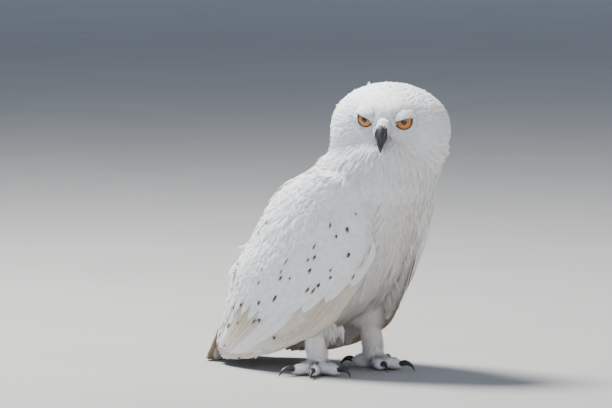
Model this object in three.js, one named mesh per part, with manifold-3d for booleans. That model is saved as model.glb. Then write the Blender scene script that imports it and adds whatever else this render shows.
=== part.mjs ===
// Snowy owl, adult male, life size, standing with the body leaning forward and the head turned
// to its own right. Millimetres. +Z is up, the body faces -Y and its left side is +X.
// Inside the file the work frame has its origin on the floor midway between the feet. The
// exported group is moved at the end so that its origin is the bottom centre of the bounding box.
import * as THREE from "three";
import { mergeVertices } from "three/addons/utils/BufferGeometryUtils.js";
import Module from "manifold-3d";

const wasm = await Module();
wasm.setup();

// ------------------------------------------------------------------ driving dimensions
const GAP = 0.35; // clearance between neighbouring solids
const DEG = Math.PI / 180;

const HEAD_CENTRE = new THREE.Vector3(0, -81, 322);
const HEAD_YAW = -55.5 * DEG; // turned to the owl's right
const HEAD_PITCH = 4 * DEG; // bill dipped
const HEAD_ROLL = 3.5 * DEG; // left side lower
const HEAD_WIDE = 77; // half width over the facial ruffs
const HEAD_FRONT = 60, HEAD_BACK = 66; // centre to face, centre to nape
const HEAD_UP = 57.5, HEAD_DOWN = 56; // centre to crown, centre to throat

const EYE_RADIUS = 17; // eyeball
const EYE_SPREAD = 22.5; // each side of the midline
const EYE_HEIGHT = 15; // over the head centre
const EYE_DEPTH = 41; // head centre to eyeball centre, forward
const EYE_TOE_OUT = 10 * DEG;

const BILL_ROOT = [0, -54, 11], BILL_TIP = [0, -78, -24.5];

const WING_THICK = 15; // at the shoulder
const WING_THIN = 5; // at the tip

const FOOT_SPREAD = 51.5; // each foot from the midline
const TARSUS_TOP = 58;
const TOE_RADIUS = 9.2;
const CLAW_RADIUS = 3.9;

const TAIL_HALF_WIDE = 41;
const TAIL_TIP_Y = 227;

// Horizontal sections of the trunk with its plumage: height, centre along Y, half length
// along Y, half width along X.
const TRUNK = [
  [48, 62, 46, 42], [64, 66, 79, 64], [85, 61, 99, 80], [109, 52, 109, 87],
  [139, 37, 113, 92], [169, 18, 111, 93], [197, 2, 110, 94], [226, -14, 104, 92],
  [258, -42, 93, 86], [275, -61, 86, 81], [288, -73, 82, 79], [302, -79, 79, 77], [320, -80, 70, 70],
];
// The same for the surface that the folded wings lie in, which runs on down to their tips.
const WING_SHELL = [
  [-10, 120, 92, 68], [10, 112, 104, 76], [30, 98, 118, 84], [57, 75, 129, 91], [85, 62, 129, 99],
  [109, 50, 129, 104], [139, 34, 126, 108], [169, 15, 121, 107], [197, 0.5, 117, 105], [226, -14, 109, 99],
  [258, -42, 97, 91], [286, -72, 82, 77], [305, -82, 72, 68],
];
// Front and lower edge of a folded wing, from shoulder to tip: height, and degrees round the
// body from the breastbone. Then the same for its back edge.
const WING_FRONT = [[256, 66], [246, 53], [226, 39], [198, 28], [165, 22], [135, 25], [101, 32], [70, 42], [40, 60], [16, 82], [6, 108]];
const WING_BACK = [[264, 84], [264, 112], [250, 136], [222, 150], [188, 158], [154, 163], [120, 166], [88, 167], [58, 165], [32, 159], [14, 146]];

// ------------------------------------------------------------------ small tools
const lerp = (a, b, t) => a + (b - a) * t;
const bump = (d, width) => Math.exp(-(d * d) / (2 * width * width));
const smooth = (t) => { const c = Math.min(1, Math.max(0, t)); return c * c * (3 - 2 * c); };

// A smooth curve through rows of numbers, read at any value of the first number.
function stations(rows) {
  const x = rows.map((r) => r[0]);
  const slope = rows.map((r, i) => {
    const a = rows[Math.max(0, i - 1)], b = rows[Math.min(rows.length - 1, i + 1)];
    return r.map((_, k) => (b[k] - a[k]) / (b[0] - a[0]));
  });
  return (at) => {
    let i = 0;
    while (i < rows.length - 2 && at > x[i + 1]) i++;
    const h = x[i + 1] - x[i], t = (at - x[i]) / h;
    if (t < 0 || t > 1) {
      const e = t < 0 ? i : i + 1;
      return rows[e].map((v, k) => v + slope[e][k] * (at - x[e]));
    }
    const t2 = t * t, t3 = t2 * t;
    return rows[i].map((v, k) =>
      (2 * t3 - 3 * t2 + 1) * v + (t3 - 2 * t2 + t) * h * slope[i][k] +
      (-2 * t3 + 3 * t2) * rows[i + 1][k] + (t3 - t2) * h * slope[i + 1][k]);
  };
}

// The same, for rows read by their place in the list, from 0 to 1.
function along(rows) {
  const read = stations(rows.map((r, i) => [i / (rows.length - 1), ...r]));
  return (t) => read(t).slice(1);
}

function solidOf(geometry) {
  const g = geometry.clone();
  g.deleteAttribute("normal");
  g.deleteAttribute("uv");
  const merged = mergeVertices(g, 1e-3);
  const made = new wasm.Manifold(new wasm.Mesh({
    numProp: 3,
    vertProperties: new Float32Array(merged.attributes.position.array),
    triVerts: new Uint32Array(merged.index.array),
  }));
  return made;
}

// Moves each vertex of a three.js geometry by a function, and makes a solid of it that faces out.
function shaped(geometry, move) {
  const p = geometry.attributes.position, v = new THREE.Vector3();
  for (let i = 0; i < p.count; i++) {
    v.fromBufferAttribute(p, i);
    move(v);
    p.setXYZ(i, v.x, v.y, v.z);
  }
  const made = solidOf(geometry);
  if (made.volume() >= 0) return made;
  const flipped = geometry.index.array;
  for (let i = 0; i < flipped.length; i += 3)
    [flipped[i + 1], flipped[i + 2]] = [flipped[i + 2], flipped[i + 1]];
  return solidOf(geometry);
}

// A copy with each vertex moved out along its normal, used to cut a seat with clearance.
function swollen(solid, by) {
  const m = solid.getMesh(), n = m.numProp, v = new Float32Array(m.numVert * 3);
  for (let i = 0; i < m.numVert; i++) v.set(m.vertProperties.subarray(i * n, i * n + 3), i * 3);
  let g = new THREE.BufferGeometry().setAttribute("position", new THREE.BufferAttribute(v, 3)).setIndex(new THREE.BufferAttribute(m.triVerts, 1));
  g = mergeVertices(g, 1e-4);
  g.computeVertexNormals();
  const p = g.attributes.position, q = g.attributes.normal;
  for (let i = 0; i < p.count; i++)
    p.setXYZ(i, p.getX(i) + q.getX(i) * by, p.getY(i) + q.getY(i) * by, p.getZ(i) + q.getZ(i) * by);
  return solidOf(g);
}

// A closed form of rings between two poles. place(t, turn, size) gives the point at share t of
// the way along, at that turn, on a ring whose size runs from 0 at each pole to 1.
function rings(around, lengthwise, blunt, place) {
  return shaped(new THREE.SphereGeometry(1, around, lengthwise), (v) => {
    const t = (1 - Math.max(-1, Math.min(1, v.y))) / 2;
    const size = t < 1e-6 || t > 1 - 1e-6 ? 0 : Math.pow(1 - Math.pow(Math.abs(2 * t - 1), blunt), 1 / blunt);
    v.copy(place(t, Math.atan2(v.z, v.x), size));
  });
}

// A limb: a round section that follows a curve, with the radius given along it.
function limb(points, radii, around, lengthwise, blunt = 4, flat = 1) {
  const curve = new THREE.CatmullRomCurve3(points.map((p) => new THREE.Vector3(...p)));
  const radius = along(radii.map((r) => [r]));
  const first = curve.getTangentAt(0);
  const side = new THREE.Vector3().crossVectors(first, new THREE.Vector3(0, 0, 1));
  if (side.length() < 0.2) side.crossVectors(first, new THREE.Vector3(0, 1, 0));
  side.normalize();
  return rings(around, lengthwise, blunt, (t, turn, size) => {
    const at = curve.getPointAt(t), tangent = curve.getTangentAt(t);
    const s = side.clone().addScaledVector(tangent, -side.dot(tangent)).normalize();
    const u = new THREE.Vector3().crossVectors(s, tangent).normalize();
    const r = radius(t)[0] * size;
    return at.addScaledVector(s, r * Math.cos(turn)).addScaledVector(u, r * flat * Math.sin(turn));
  });
}

// A box with its middle at a point, turned about X.
function block(size, centre, tilt = 0) {
  const g = new THREE.BoxGeometry(...size);
  g.applyMatrix4(new THREE.Matrix4().makeRotationX(tilt).setPosition(...centre));
  return solidOf(g);
}

// ------------------------------------------------------------------ trunk
const trunkAt = stations(TRUNK);
function trunkForm() {
  const low = TRUNK[0][0] - 6, high = TRUNK[TRUNK.length - 1][0] + 12;
  return rings(24, 14, 3.2, (t, turn, size) => {
    const z = lerp(high, low, t), [, centre, half, wide] = trunkAt(z);
    const c = Math.cos(turn), s = Math.sin(turn);
    // the breast is fuller than an ellipse
    const full = 1 + 0.035 * Math.pow(Math.abs(s * c) * 2, 2) * (s < 0 ? 1 : 0.4);
    return new THREE.Vector3(wide * size * c * full, centre + half * size * s * full, z);
  });
}

// ------------------------------------------------------------------ head
const toHead = new THREE.Matrix4().makeTranslation(HEAD_CENTRE)
  .multiply(new THREE.Matrix4().makeRotationZ(HEAD_YAW))
  .multiply(new THREE.Matrix4().makeRotationX(HEAD_PITCH))
  .multiply(new THREE.Matrix4().makeRotationY(HEAD_ROLL));
const near = (d, x, y, z, width) => bump(d.angleTo(new THREE.Vector3(x, y, z)), width);

function headForm() {
  return shaped(new THREE.SphereGeometry(1, 26, 18), (v) => {
    const d = v.clone().normalize();
    d.set(v.x, v.z, v.y).normalize(); // poles at crown and throat
    const power = 2.15 - 0.2 * d.z;
    const deep = d.y < 0 ? HEAD_FRONT : HEAD_BACK, tall = d.z > 0 ? HEAD_UP : HEAD_DOWN;
    let r = Math.pow(
      Math.pow(Math.abs(d.x) / HEAD_WIDE, power) + Math.pow(Math.abs(d.y) / deep, power) +
      Math.pow(Math.abs(d.z) / tall, power), -1 / power);
    for (const side of [-1, 1]) {
      r += 6 * near(d, side * 62, -34, -34, 0.36); // lower ruff
      r -= 5.5 * near(d, side * 30, -56, 18, 0.2); // hollow round the eye
      r -= 3 * near(d, side * 34, -58, -8, 0.24); // facial disc
      r += 4.2 * near(d, side * 20, -56, 37, 0.17); // brow
      r += 2.6 * near(d, side * 40, -50, 38, 0.2);
      r += 2.5 * near(d, side * 15, -64, -10, 0.15); // bristles beside the bill
    }
    r += 2.5 * near(d, 0, -62, 22, 0.16); // bridge between the eyes
    v.copy(d.multiplyScalar(r));
  }).transform(toHead.elements);
}

function eyeForm(side) {
  const g = new THREE.SphereGeometry(EYE_RADIUS, 14, 10);
  g.rotateX(Math.PI / 2);
  g.rotateZ(side * EYE_TOE_OUT);
  g.translate(side * EYE_SPREAD, -EYE_DEPTH, EYE_HEIGHT);
  return solidOf(g).transform(toHead.elements);
}

function billForms() {
  const [rx, ry, rz] = BILL_ROOT, [tx, ty, tz] = BILL_TIP;
  const upper = limb(
    [[rx, ry, rz], [0, lerp(ry, ty, 0.62), lerp(rz, tz, 0.24)], [0, lerp(ry, ty, 0.98), lerp(rz, tz, 0.6)], [tx, ty + 2.5, tz]],
    [9.5, 8.6, 5.6, 1.0], 12, 11, 4, 1).transform(toHead.elements);
  const lower = limb(
    [[0, ry + 2, -6], [0, lerp(ry, ty, 0.5), -10], [0, lerp(ry, ty, 0.62) - 1, -15]],
    [5.2, 4.4, 1.4], 8, 5, 4, 0.8).transform(toHead.elements);
  return { upper, lower };
}

// ------------------------------------------------------------------ wings
const shellAt = stations(WING_SHELL);
function shellPoint(z, degrees, inward) {
  const [, centre, half, wide] = shellAt(z);
  const a = degrees * DEG;
  const x = -(wide - inward) * Math.sin(a), y = centre - (half - inward) * Math.cos(a);
  return new THREE.Vector3(x, y, z);
}
const frontEdge = along(WING_FRONT), backEdge = along(WING_BACK);
// proud lifts the outer face, for the tool that clears the flank beneath the wing
function wingForm(side, proud) {
  return shaped(new THREE.BoxGeometry(1, 1, 1, 14, 9, 1), (v) => {
    const u = 0.5 + v.x, w = 0.5 + v.y, out = v.z > 0;
    const [zf, af] = frontEdge(u), [zb, ab] = backEdge(u);
    const z = lerp(zf, zb, w), angle = lerp(af, ab, w);
    const across = 1 - Math.pow(Math.abs(2 * w - 1), 5);
    const endwise = smooth(u / 0.12) * (0.25 + 0.75 * smooth((1 - u) / 0.06));
    const full = lerp(WING_THICK, WING_THIN, smooth(u * 1.1));
    const thick = full * (0.3 + 0.7 * across * (0.35 + 0.65 * endwise));
    const sunk = (full - thick) * 0.35;
    const p = shellPoint(z, angle, out ? sunk - proud : sunk + thick);
    if (side > 0) p.x = -p.x;
    v.copy(p);
  });
}

// ------------------------------------------------------------------ tail
function tailForm() {
  return shaped(new THREE.BoxGeometry(1, 1, 1, 6, 8, 1), (v) => {
    const across = v.x * 2, u = v.y + 0.5, out = v.z > 0 ? 1 : -1;
    const half = lerp(34, TAIL_HALF_WIDE, smooth(u * 1.3)) * (1 - 0.22 * smooth((u - 0.86) / 0.14) * Math.abs(across));
    const thick = lerp(9, 3.6, u) * (1 - 0.45 * across * across);
    const arch = 7 * (1 - u * 0.4) * across * across;
    const end = 1 - 0.05 * across * across * smooth((u - 0.8) / 0.2);
    const y = lerp(152, TAIL_TIP_Y, u * end), z = lerp(128, -4, Math.pow(u, 1.04) * end);
    const nx = 0, ny = 0.866, nz = 0.5; // outward, square to the tail
    v.set(across * half, y + ny * (out * thick - arch), z + nz * (out * thick - arch));
  });
}

// ------------------------------------------------------------------ legs
// Toe directions in degrees from straight ahead, positive to the owl's left, with lengths.
const TOES = {
  right: [["inner", -6, 37], ["middle", -53, 42], ["outer", -98, 34], ["hind", 150, 25]],
  left: [["inner", -30, 37], ["middle", 3, 42], ["outer", 112, 34], ["hind", -168, 25]],
};
function legForms(side) {
  const x = side === "left" ? FOOT_SPREAD : -FOOT_SPREAD, out = Math.sign(x);
  const thigh = limb([[x - out * 2, 22, 100], [x - out * 1, 14, 74], [x, 6, 50]], [36, 28, 17.5], 14, 8, 3.2);
  const tarsus = limb([[x, 8, TARSUS_TOP], [x, 3, 38], [x, 0, 18], [x, -1, 6]], [14.5, 13.2, 12.6, 14], 12, 7, 3.4);
  const toes = {}, claws = {};
  for (const [name, degrees, length] of TOES[side]) {
    const a = degrees * DEG, dx = Math.sin(a), dy = -Math.cos(a);
    const at = (r, z) => [x + dx * r, dy * r, z];
    const tip = 9 + length;
    toes[name] = limb([at(6, 9.4), at(9 + length * 0.4, 8.6), at(9 + length * 0.75, 7.9), at(tip, 6.6)],
      [TOE_RADIUS + 2.6, TOE_RADIUS + 0.6, TOE_RADIUS, TOE_RADIUS * 0.72], 9, 6, 3.4, 0.95);
    const hook = name === "hind" ? 0.86 : 1;
    claws[name] = limb([at(tip - 7, 8), at(tip + 3, 10.8), at(tip + 12 * hook, 9.2), at(tip + 18 * hook, 4.6), at(tip + 19.6 * hook, 0.9)],
      [CLAW_RADIUS * 0.86, CLAW_RADIUS, CLAW_RADIUS * 0.8, CLAW_RADIUS * 0.46, 0.5], 6, 7, 5);
  }
  return { thigh, tarsus, toes, claws };
}

// ------------------------------------------------------------------ assembly by cuts
const FLOOR = block([900, 900, 200], [0, 0, -100]);
const largest = (s) => s.decompose().sort((a, b) => b.volume() - a.volume())[0];
const whole = headForm().add(trunkForm());
const eyes = { left: eyeForm(1), right: eyeForm(-1) };
const bill = billForms();
const wings = { left: wingForm(1, 0), right: wingForm(-1, 0) };
const tail = tailForm();
const legs = { left: legForms("left"), right: legForms("right") };

// head, neck and trunk are parted by thin parallel cuts that dip towards the throat
const CUT_TILT = 10 * DEG, NECK_TOP = 278, NECK_DEEP = 26;
const above = (drop) => block([600, 600, 400],
  [0, -75 - Math.sin(CUT_TILT) * (200 - drop), NECK_TOP + Math.cos(CUT_TILT) * (200 - drop)], CUT_TILT);

const seat = (solid) => swollen(solid, GAP);
const wingSeats = { left: seat(wings.left), right: seat(wings.right) };
const wingSeat = wingSeats.left.add(wingSeats.right).add(seat(wingForm(1, 25))).add(seat(wingForm(-1, 25)));
const faceSeat = seat(eyes.left).add(seat(eyes.right)).add(seat(bill.upper)).add(seat(bill.lower));
const thighSeat = seat(legs.left.thigh).add(seat(legs.right.thigh));

const parts = {};
parts.head = largest(whole.intersect(above(0)).subtract(faceSeat).subtract(wingSeat));
parts.neck = largest(whole.subtract(above(GAP)).intersect(above(NECK_DEEP)).subtract(wingSeat).subtract(faceSeat));
parts.trunk = largest(whole.subtract(above(NECK_DEEP + GAP)).subtract(wingSeat).subtract(seat(tail)).subtract(thighSeat));
parts.tail = largest(tail.subtract(wingSeats.left).subtract(wingSeats.right).subtract(FLOOR));
parts.bill_upper = bill.upper;
parts.bill_lower = largest(bill.lower.subtract(seat(bill.upper)));
for (const side of ["left", "right"]) {
  const { thigh, tarsus, toes, claws } = legs[side];
  parts[`eye_${side}`] = eyes[side];
  parts[`wing_${side}`] = largest(wings[side].subtract(FLOOR));
  parts[`thigh_${side}`] = largest(thigh.subtract(wingSeats[side]).subtract(seat(tarsus)));
  parts[`tarsus_${side}`] = largest(tarsus.subtract(wingSeats[side]).subtract(FLOOR));
  let taken = seat(tarsus);
  for (const name of Object.keys(toes)) {
    parts[`toe_${side}_${name}`] = largest(toes[name].subtract(taken).subtract(seat(claws[name])).subtract(FLOOR));
    parts[`claw_${side}_${name}`] = largest(claws[name].subtract(FLOOR));
    taken = taken.add(seat(toes[name]));
  }
}

// ------------------------------------------------------------------ materials and scene graph
const finish = (color, roughness) => new THREE.MeshStandardMaterial({ color, roughness, metalness: 0 });
const PLUMAGE = finish(0xe9ecf2, 0.9), VANE = finish(0xe4e4e6, 0.8), HORN = finish(0x17181c, 0.35), EYE = finish(0xd98a12, 0.12);
const materialOf = (name) =>
  name.startsWith("eye") ? EYE : name.startsWith("claw") || name.startsWith("bill") ? HORN :
  name.startsWith("wing") || name === "tail" ? VANE : PLUMAGE;

const owl = new THREE.Group();
const body = new THREE.Group();
owl.add(body);
for (const [name, solid] of Object.entries(parts)) {
  const m = solid.simplify(0.1).getMesh(), n = m.numProp, v = new Float32Array(m.numVert * 3);
  for (let i = 0; i < m.numVert; i++) v.set(m.vertProperties.subarray(i * n, i * n + 3), i * 3);
  const g = new THREE.BufferGeometry().setAttribute("position", new THREE.BufferAttribute(v, 3)).setIndex(new THREE.BufferAttribute(m.triVerts, 1));
  g.computeVertexNormals();
  const mesh = new THREE.Mesh(g, materialOf(name));
  mesh.name = name;
  body.add(mesh);
}

// origin at the bottom centre of the bounding box
const box = new THREE.Box3().setFromObject(body), middle = box.getCenter(new THREE.Vector3());
body.position.set(-middle.x, -middle.y, -box.min.z);

export default owl;
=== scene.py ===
import bpy
import math
import numpy as np
from mathutils import Matrix, Vector
from mathutils.bvhtree import BVHTree
from mathutils.kdtree import KDTree


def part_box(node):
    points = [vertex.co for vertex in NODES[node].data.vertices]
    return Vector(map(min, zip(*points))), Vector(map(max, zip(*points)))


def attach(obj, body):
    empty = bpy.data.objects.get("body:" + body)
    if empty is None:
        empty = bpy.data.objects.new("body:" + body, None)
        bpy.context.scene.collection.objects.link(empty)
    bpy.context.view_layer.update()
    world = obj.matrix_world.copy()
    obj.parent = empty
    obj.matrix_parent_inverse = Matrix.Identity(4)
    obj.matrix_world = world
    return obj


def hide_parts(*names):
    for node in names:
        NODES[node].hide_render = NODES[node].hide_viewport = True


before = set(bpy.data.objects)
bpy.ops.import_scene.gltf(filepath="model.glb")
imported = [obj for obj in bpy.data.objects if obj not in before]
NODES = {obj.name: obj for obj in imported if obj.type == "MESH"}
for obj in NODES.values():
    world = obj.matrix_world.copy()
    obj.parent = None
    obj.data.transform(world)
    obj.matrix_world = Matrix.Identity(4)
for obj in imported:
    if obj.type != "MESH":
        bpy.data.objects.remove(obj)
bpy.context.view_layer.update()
rng = np.random.default_rng(11)

# ------------------------------------------------------------------ the forms of the solids
HEAD_CENTRE = np.array([0.0, -81.0, 322.0])
HEAD_TURN = (
    Matrix.Translation(Vector(HEAD_CENTRE))
    @ Matrix.Rotation(math.radians(-55.5), 4, "Z")
    @ Matrix.Rotation(math.radians(4.0), 4, "X")
    @ Matrix.Rotation(math.radians(3.5), 4, "Y")
)
HT = np.array(HEAD_TURN)
rx, ry, rz = 0.0, -54.0, 11.0
tx, ty, tz = 0.0, -78.0, -24.5
mixy = lambda t: ry + (ty - ry) * t
mixz = lambda t: rz + (tz - rz) * t
EYE_R, EYE_X, EYE_Z, EYE_Y, EYE_TOE = 17.0, 22.5, 15.0, -41.0, math.radians(10)
FOOT_X = 51.5
TARSUS_TOP = 58.0
TOES = {
    "right": {"inner": (-6, 37), "middle": (-53, 42), "outer": (-98, 34), "hind": (150, 25)},
    "left": {"inner": (-30, 37), "middle": (3, 42), "outer": (112, 34), "hind": (-168, 25)},
}
CLAW_R = 3.9
TAIL_HALF, TAIL_Y = 41.0, 227.0
TRUNK = [
    [48, 62, 46, 42], [64, 66, 79, 64], [85, 61, 99, 80], [109, 52, 109, 87],
    [139, 37, 113, 92], [169, 18, 111, 93], [197, 2, 110, 94], [226, -14, 104, 92],
    [258, -42, 93, 86], [275, -61, 86, 81], [288, -73, 82, 79], [302, -79, 79, 77], [320, -80, 70, 70],
]
SHELL = [
    [-10, 120, 92, 68], [10, 112, 104, 76], [30, 98, 118, 84], [57, 75, 129, 91], [85, 62, 129, 99],
    [109, 50, 129, 104], [139, 34, 126, 108], [169, 15, 121, 107], [197, 0.5, 117, 105], [226, -14, 109, 99],
    [258, -42, 97, 91], [286, -72, 82, 77], [305, -82, 72, 68],
]
WING_FRONT = [[256, 66], [246, 53], [226, 39], [198, 28], [165, 22], [135, 25], [101, 32], [70, 42], [40, 60], [16, 82], [6, 108]]
WING_BACK = [[264, 84], [264, 112], [250, 136], [222, 150], [188, 158], [154, 163], [120, 166], [88, 167], [58, 165], [32, 159], [14, 146]]


def stations(rows):
    rows = np.array(rows, float)
    x, n = rows[:, 0], len(rows)
    slope = np.array([(rows[min(n - 1, i + 1)] - rows[max(0, i - 1)]) / (x[min(n - 1, i + 1)] - x[max(0, i - 1)]) for i in range(n)])

    def read(at):
        at = np.asarray(at, float)
        c = np.clip(at, x[0], x[-1])
        i = np.clip(np.searchsorted(x, c) - 1, 0, n - 2)
        h = (x[i + 1] - x[i])[..., None]
        t = ((c - x[i])[..., None]) / h
        t2, t3 = t * t, t * t * t
        v = (2 * t3 - 3 * t2 + 1) * rows[i] + (t3 - 2 * t2 + t) * h * slope[i] + (-2 * t3 + 3 * t2) * rows[i + 1] + (t3 - t2) * h * slope[i + 1]
        end = np.where((at < x[0])[..., None], slope[0], slope[-1])
        return v + end * (at - c)[..., None]

    return read


def along(rows):
    read = stations([[i / (len(rows) - 1), *r] for i, r in enumerate(rows)])
    return lambda t: read(t)[..., 1:]


def sstep(t):
    t = np.clip(t, 0, 1)
    return t * t * (3 - 2 * t)


def norm(v):
    return v / np.maximum(np.linalg.norm(v, axis=-1, keepdims=True), 1e-9)


shell_at, trunk_at = stations(SHELL), stations(TRUNK)
front_edge, back_edge = along(WING_FRONT), along(WING_BACK)


def shell(z, deg, inward, side=-1):
    s = shell_at(z)
    a = np.radians(deg)
    x = side * (s[..., 3] - inward) * np.sin(a)
    return np.stack([x, s[..., 1] - (s[..., 2] - inward) * np.cos(a), z + 0 * x], -1)


def wing_point(u, w, inward, side=-1):
    f, b = front_edge(u), back_edge(u)
    zd = f * (1 - np.asarray(w)[..., None]) + b * np.asarray(w)[..., None]
    return shell(zd[..., 0], zd[..., 1], inward, side)


def wing_thick(u):
    return 15 + (5 - 15) * sstep(np.asarray(u) * 1.1)


def to_head(p):
    return p @ HT[:3, :3].T + HT[:3, 3]


def from_head(p):
    return (p - HT[:3, 3]) @ HT[:3, :3]


eye_c = {s: to_head(np.array([k * EYE_X, EYE_Y, EYE_Z])) for s, k in (("left", 1), ("right", -1))}
lo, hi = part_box("eye_left")
OFF = (np.array(lo) + np.array(hi)) * 500 - eye_c["left"]
OFF[2] = 0.0


def metres(v):
    return (np.asarray(v) + OFF) / 1000.0


# ------------------------------------------------------------------ mesh helpers
def mesh_of(name, verts, faces, materials=(), mat_index=None, smooth=True):
    """faces is (F, k), or a list of such arrays with different k."""
    groups = faces if isinstance(faces, list) else [faces]
    groups = [np.asarray(g, np.int32) for g in groups if len(g)]
    me = bpy.data.meshes.new(name)
    v = metres(verts).astype(np.float32)
    me.vertices.add(len(v))
    me.vertices.foreach_set("co", v.ravel())
    loops = np.concatenate([g.ravel() for g in groups])
    total = np.concatenate([np.full(len(g), g.shape[1], np.int32) for g in groups])
    start = np.concatenate([[0], np.cumsum(total)[:-1]]).astype(np.int32)
    me.loops.add(len(loops))
    me.loops.foreach_set("vertex_index", loops)
    me.polygons.add(len(total))
    me.polygons.foreach_set("loop_start", start)
    me.polygons.foreach_set("loop_total", total)
    for m in materials:
        me.materials.append(m)
    if mat_index is not None:
        me.polygons.foreach_set("material_index", np.asarray(mat_index, np.int32))
    me.update(calc_edges=True)
    me.validate(clean_customdata=False)
    if smooth:
        me.shade_smooth()
    ob = bpy.data.objects.new(name, me)
    bpy.context.scene.collection.objects.link(ob)
    return ob


def read_mesh(me):
    co = np.empty(len(me.vertices) * 3, np.float32)
    me.vertices.foreach_get("co", co)
    me.calc_loop_triangles()
    tri = np.empty(len(me.loop_triangles) * 3, np.int32)
    me.loop_triangles.foreach_get("vertices", tri)
    return co.reshape(-1, 3).astype(float), tri.reshape(-1, 3)


def node_mesh(name):
    co, tri = read_mesh(NODES[name].data)
    return co * 1000.0 - OFF, tri


def grid_faces(rows, cols, closed=False):
    r, c = np.meshgrid(np.arange(rows - 1), np.arange(cols if closed else cols - 1), indexing="ij")
    a = (r * cols + c).ravel()
    b = (r * cols + (c + 1) % cols).ravel()
    return np.stack([a, b, b + cols, a + cols], 1)


def slab(front, back):
    """Two grids of points (rows, cols, 3), front seen with rows down and cols to the right, closed round their rims."""
    R, C = front.shape[:2]
    n = R * C
    v = np.concatenate([front.reshape(-1, 3), back.reshape(-1, 3)])
    q = grid_faces(R, C)
    faces = [q, q[:, ::-1] + n]
    rim = np.concatenate([np.arange(C), np.arange(1, R) * C + C - 1, (R - 1) * C + np.arange(C - 2, -1, -1), np.arange(R - 2, 0, -1) * C])
    nxt = np.roll(rim, -1)
    faces.append(np.stack([nxt, rim, rim + n, nxt + n], 1))
    return v, np.concatenate(faces)


def rings(place, around, lengthwise, blunt):
    """Rings between two poles: place(t, turn, size) -> points."""
    t = (1 - np.cos(np.linspace(0, np.pi, lengthwise + 1))) / 2
    turn = np.arange(around) * 2 * np.pi / around
    T, U = np.meshgrid(t, turn, indexing="ij")
    size = np.where((T < 1e-6) | (T > 1 - 1e-6), 0, (1 - np.abs(2 * T - 1) ** blunt).clip(0) ** (1 / blunt))
    p = place(T, U, size)
    v = np.concatenate([p[:1, 0], p[1:-1].reshape(-1, 3), p[-1:, 0]])
    R = lengthwise - 1
    q = grid_faces(R, around, True) + 1
    k = np.arange(around)
    first = np.stack([np.zeros(around, int), 1 + (k + 1) % around, 1 + k], 1)
    last = np.stack([np.full(around, 1 + R * around), 1 + (R - 1) * around + k, 1 + (R - 1) * around + (k + 1) % around], 1)
    return v, [q, np.concatenate([first, last])]


def catmull(points, t):
    p = np.array(points, float)
    p = np.concatenate([[2 * p[0] - p[1]], p, [2 * p[-1] - p[-2]]])
    n = len(p) - 3
    x = np.clip(t, 0, 1) * n
    i = np.clip(x.astype(int), 0, n - 1)
    f = (x - i)[..., None]
    a, b, c, d = p[i], p[i + 1], p[i + 2], p[i + 3]
    return 0.5 * (2 * b + (c - a) * f + (2 * a - 5 * b + 4 * c - d) * f ** 2 + (3 * b - a - 3 * c + d) * f ** 3)


def limb(points, radii, around, lengthwise, blunt=4, flat=1.0, side=None):
    fine = np.linspace(0, 1, 200)
    pts = catmull(points, fine)
    arc = np.concatenate([[0], np.cumsum(np.linalg.norm(np.diff(pts, axis=0), axis=1))])
    arc /= arc[-1]
    rad = along([[r] for r in radii])

    def place(T, U, size):
        p = np.stack([np.interp(T, arc, pts[:, k]) for k in range(3)], -1)
        q = np.stack([np.interp(np.clip(T + 0.01, 0, 1), arc, pts[:, k]) - np.interp(np.clip(T - 0.01, 0, 1), arc, pts[:, k]) for k in range(3)], -1)
        tan = norm(q)
        s = np.array(side, float) if side is not None else norm(np.cross(tan[0, 0], [0, 0, 1.0]))
        s = norm(s - (tan * s).sum(-1, keepdims=True) * tan)
        u = np.cross(s, tan)
        r = (rad(T)[..., 0] * size)[..., None]
        return p + s * r * np.cos(U)[..., None] + u * r * flat * np.sin(U)[..., None]

    return rings(place, around, lengthwise, blunt)


# ------------------------------------------------------------------ materials
def new_material(name):
    m = bpy.data.materials.new(name)
    m.use_nodes = True
    nt = m.node_tree
    return m, nt, nt.nodes["Principled BSDF"]


def mix_colour(nt, factor, a, b, mode="MIX"):
    n = nt.nodes.new("ShaderNodeMix")
    n.data_type, n.blend_type = "RGBA", mode
    for sock, val in ((n.inputs[0], factor), (n.inputs[6], a), (n.inputs[7], b)):
        if isinstance(val, bpy.types.NodeSocket):
            nt.links.new(val, sock)
        else:
            sock.default_value = val
    return n.outputs[2]


def attribute(nt, name):
    n = nt.nodes.new("ShaderNodeAttribute")
    n.attribute_name = name
    return n.outputs["Fac"]


def noise(nt, scale, detail=3.0, rough=0.5):
    co = nt.nodes.new("ShaderNodeTexCoord")
    n = nt.nodes.new("ShaderNodeTexNoise")
    n.inputs["Scale"].default_value, n.inputs["Detail"].default_value, n.inputs["Roughness"].default_value = scale, detail, rough
    nt.links.new(co.outputs["Object"], n.inputs["Vector"])
    return n.outputs["Fac"]


def ramp(nt, fac, stops):
    n = nt.nodes.new("ShaderNodeValToRGB")
    el = n.color_ramp.elements
    while len(el) < len(stops):
        el.new(0.5)
    for e, (pos, col) in zip(el, stops):
        e.position, e.color = pos, col
    nt.links.new(fac, n.inputs["Fac"])
    return n.outputs["Color"]


def grey(v):
    return (v, v, v, 1)


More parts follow.
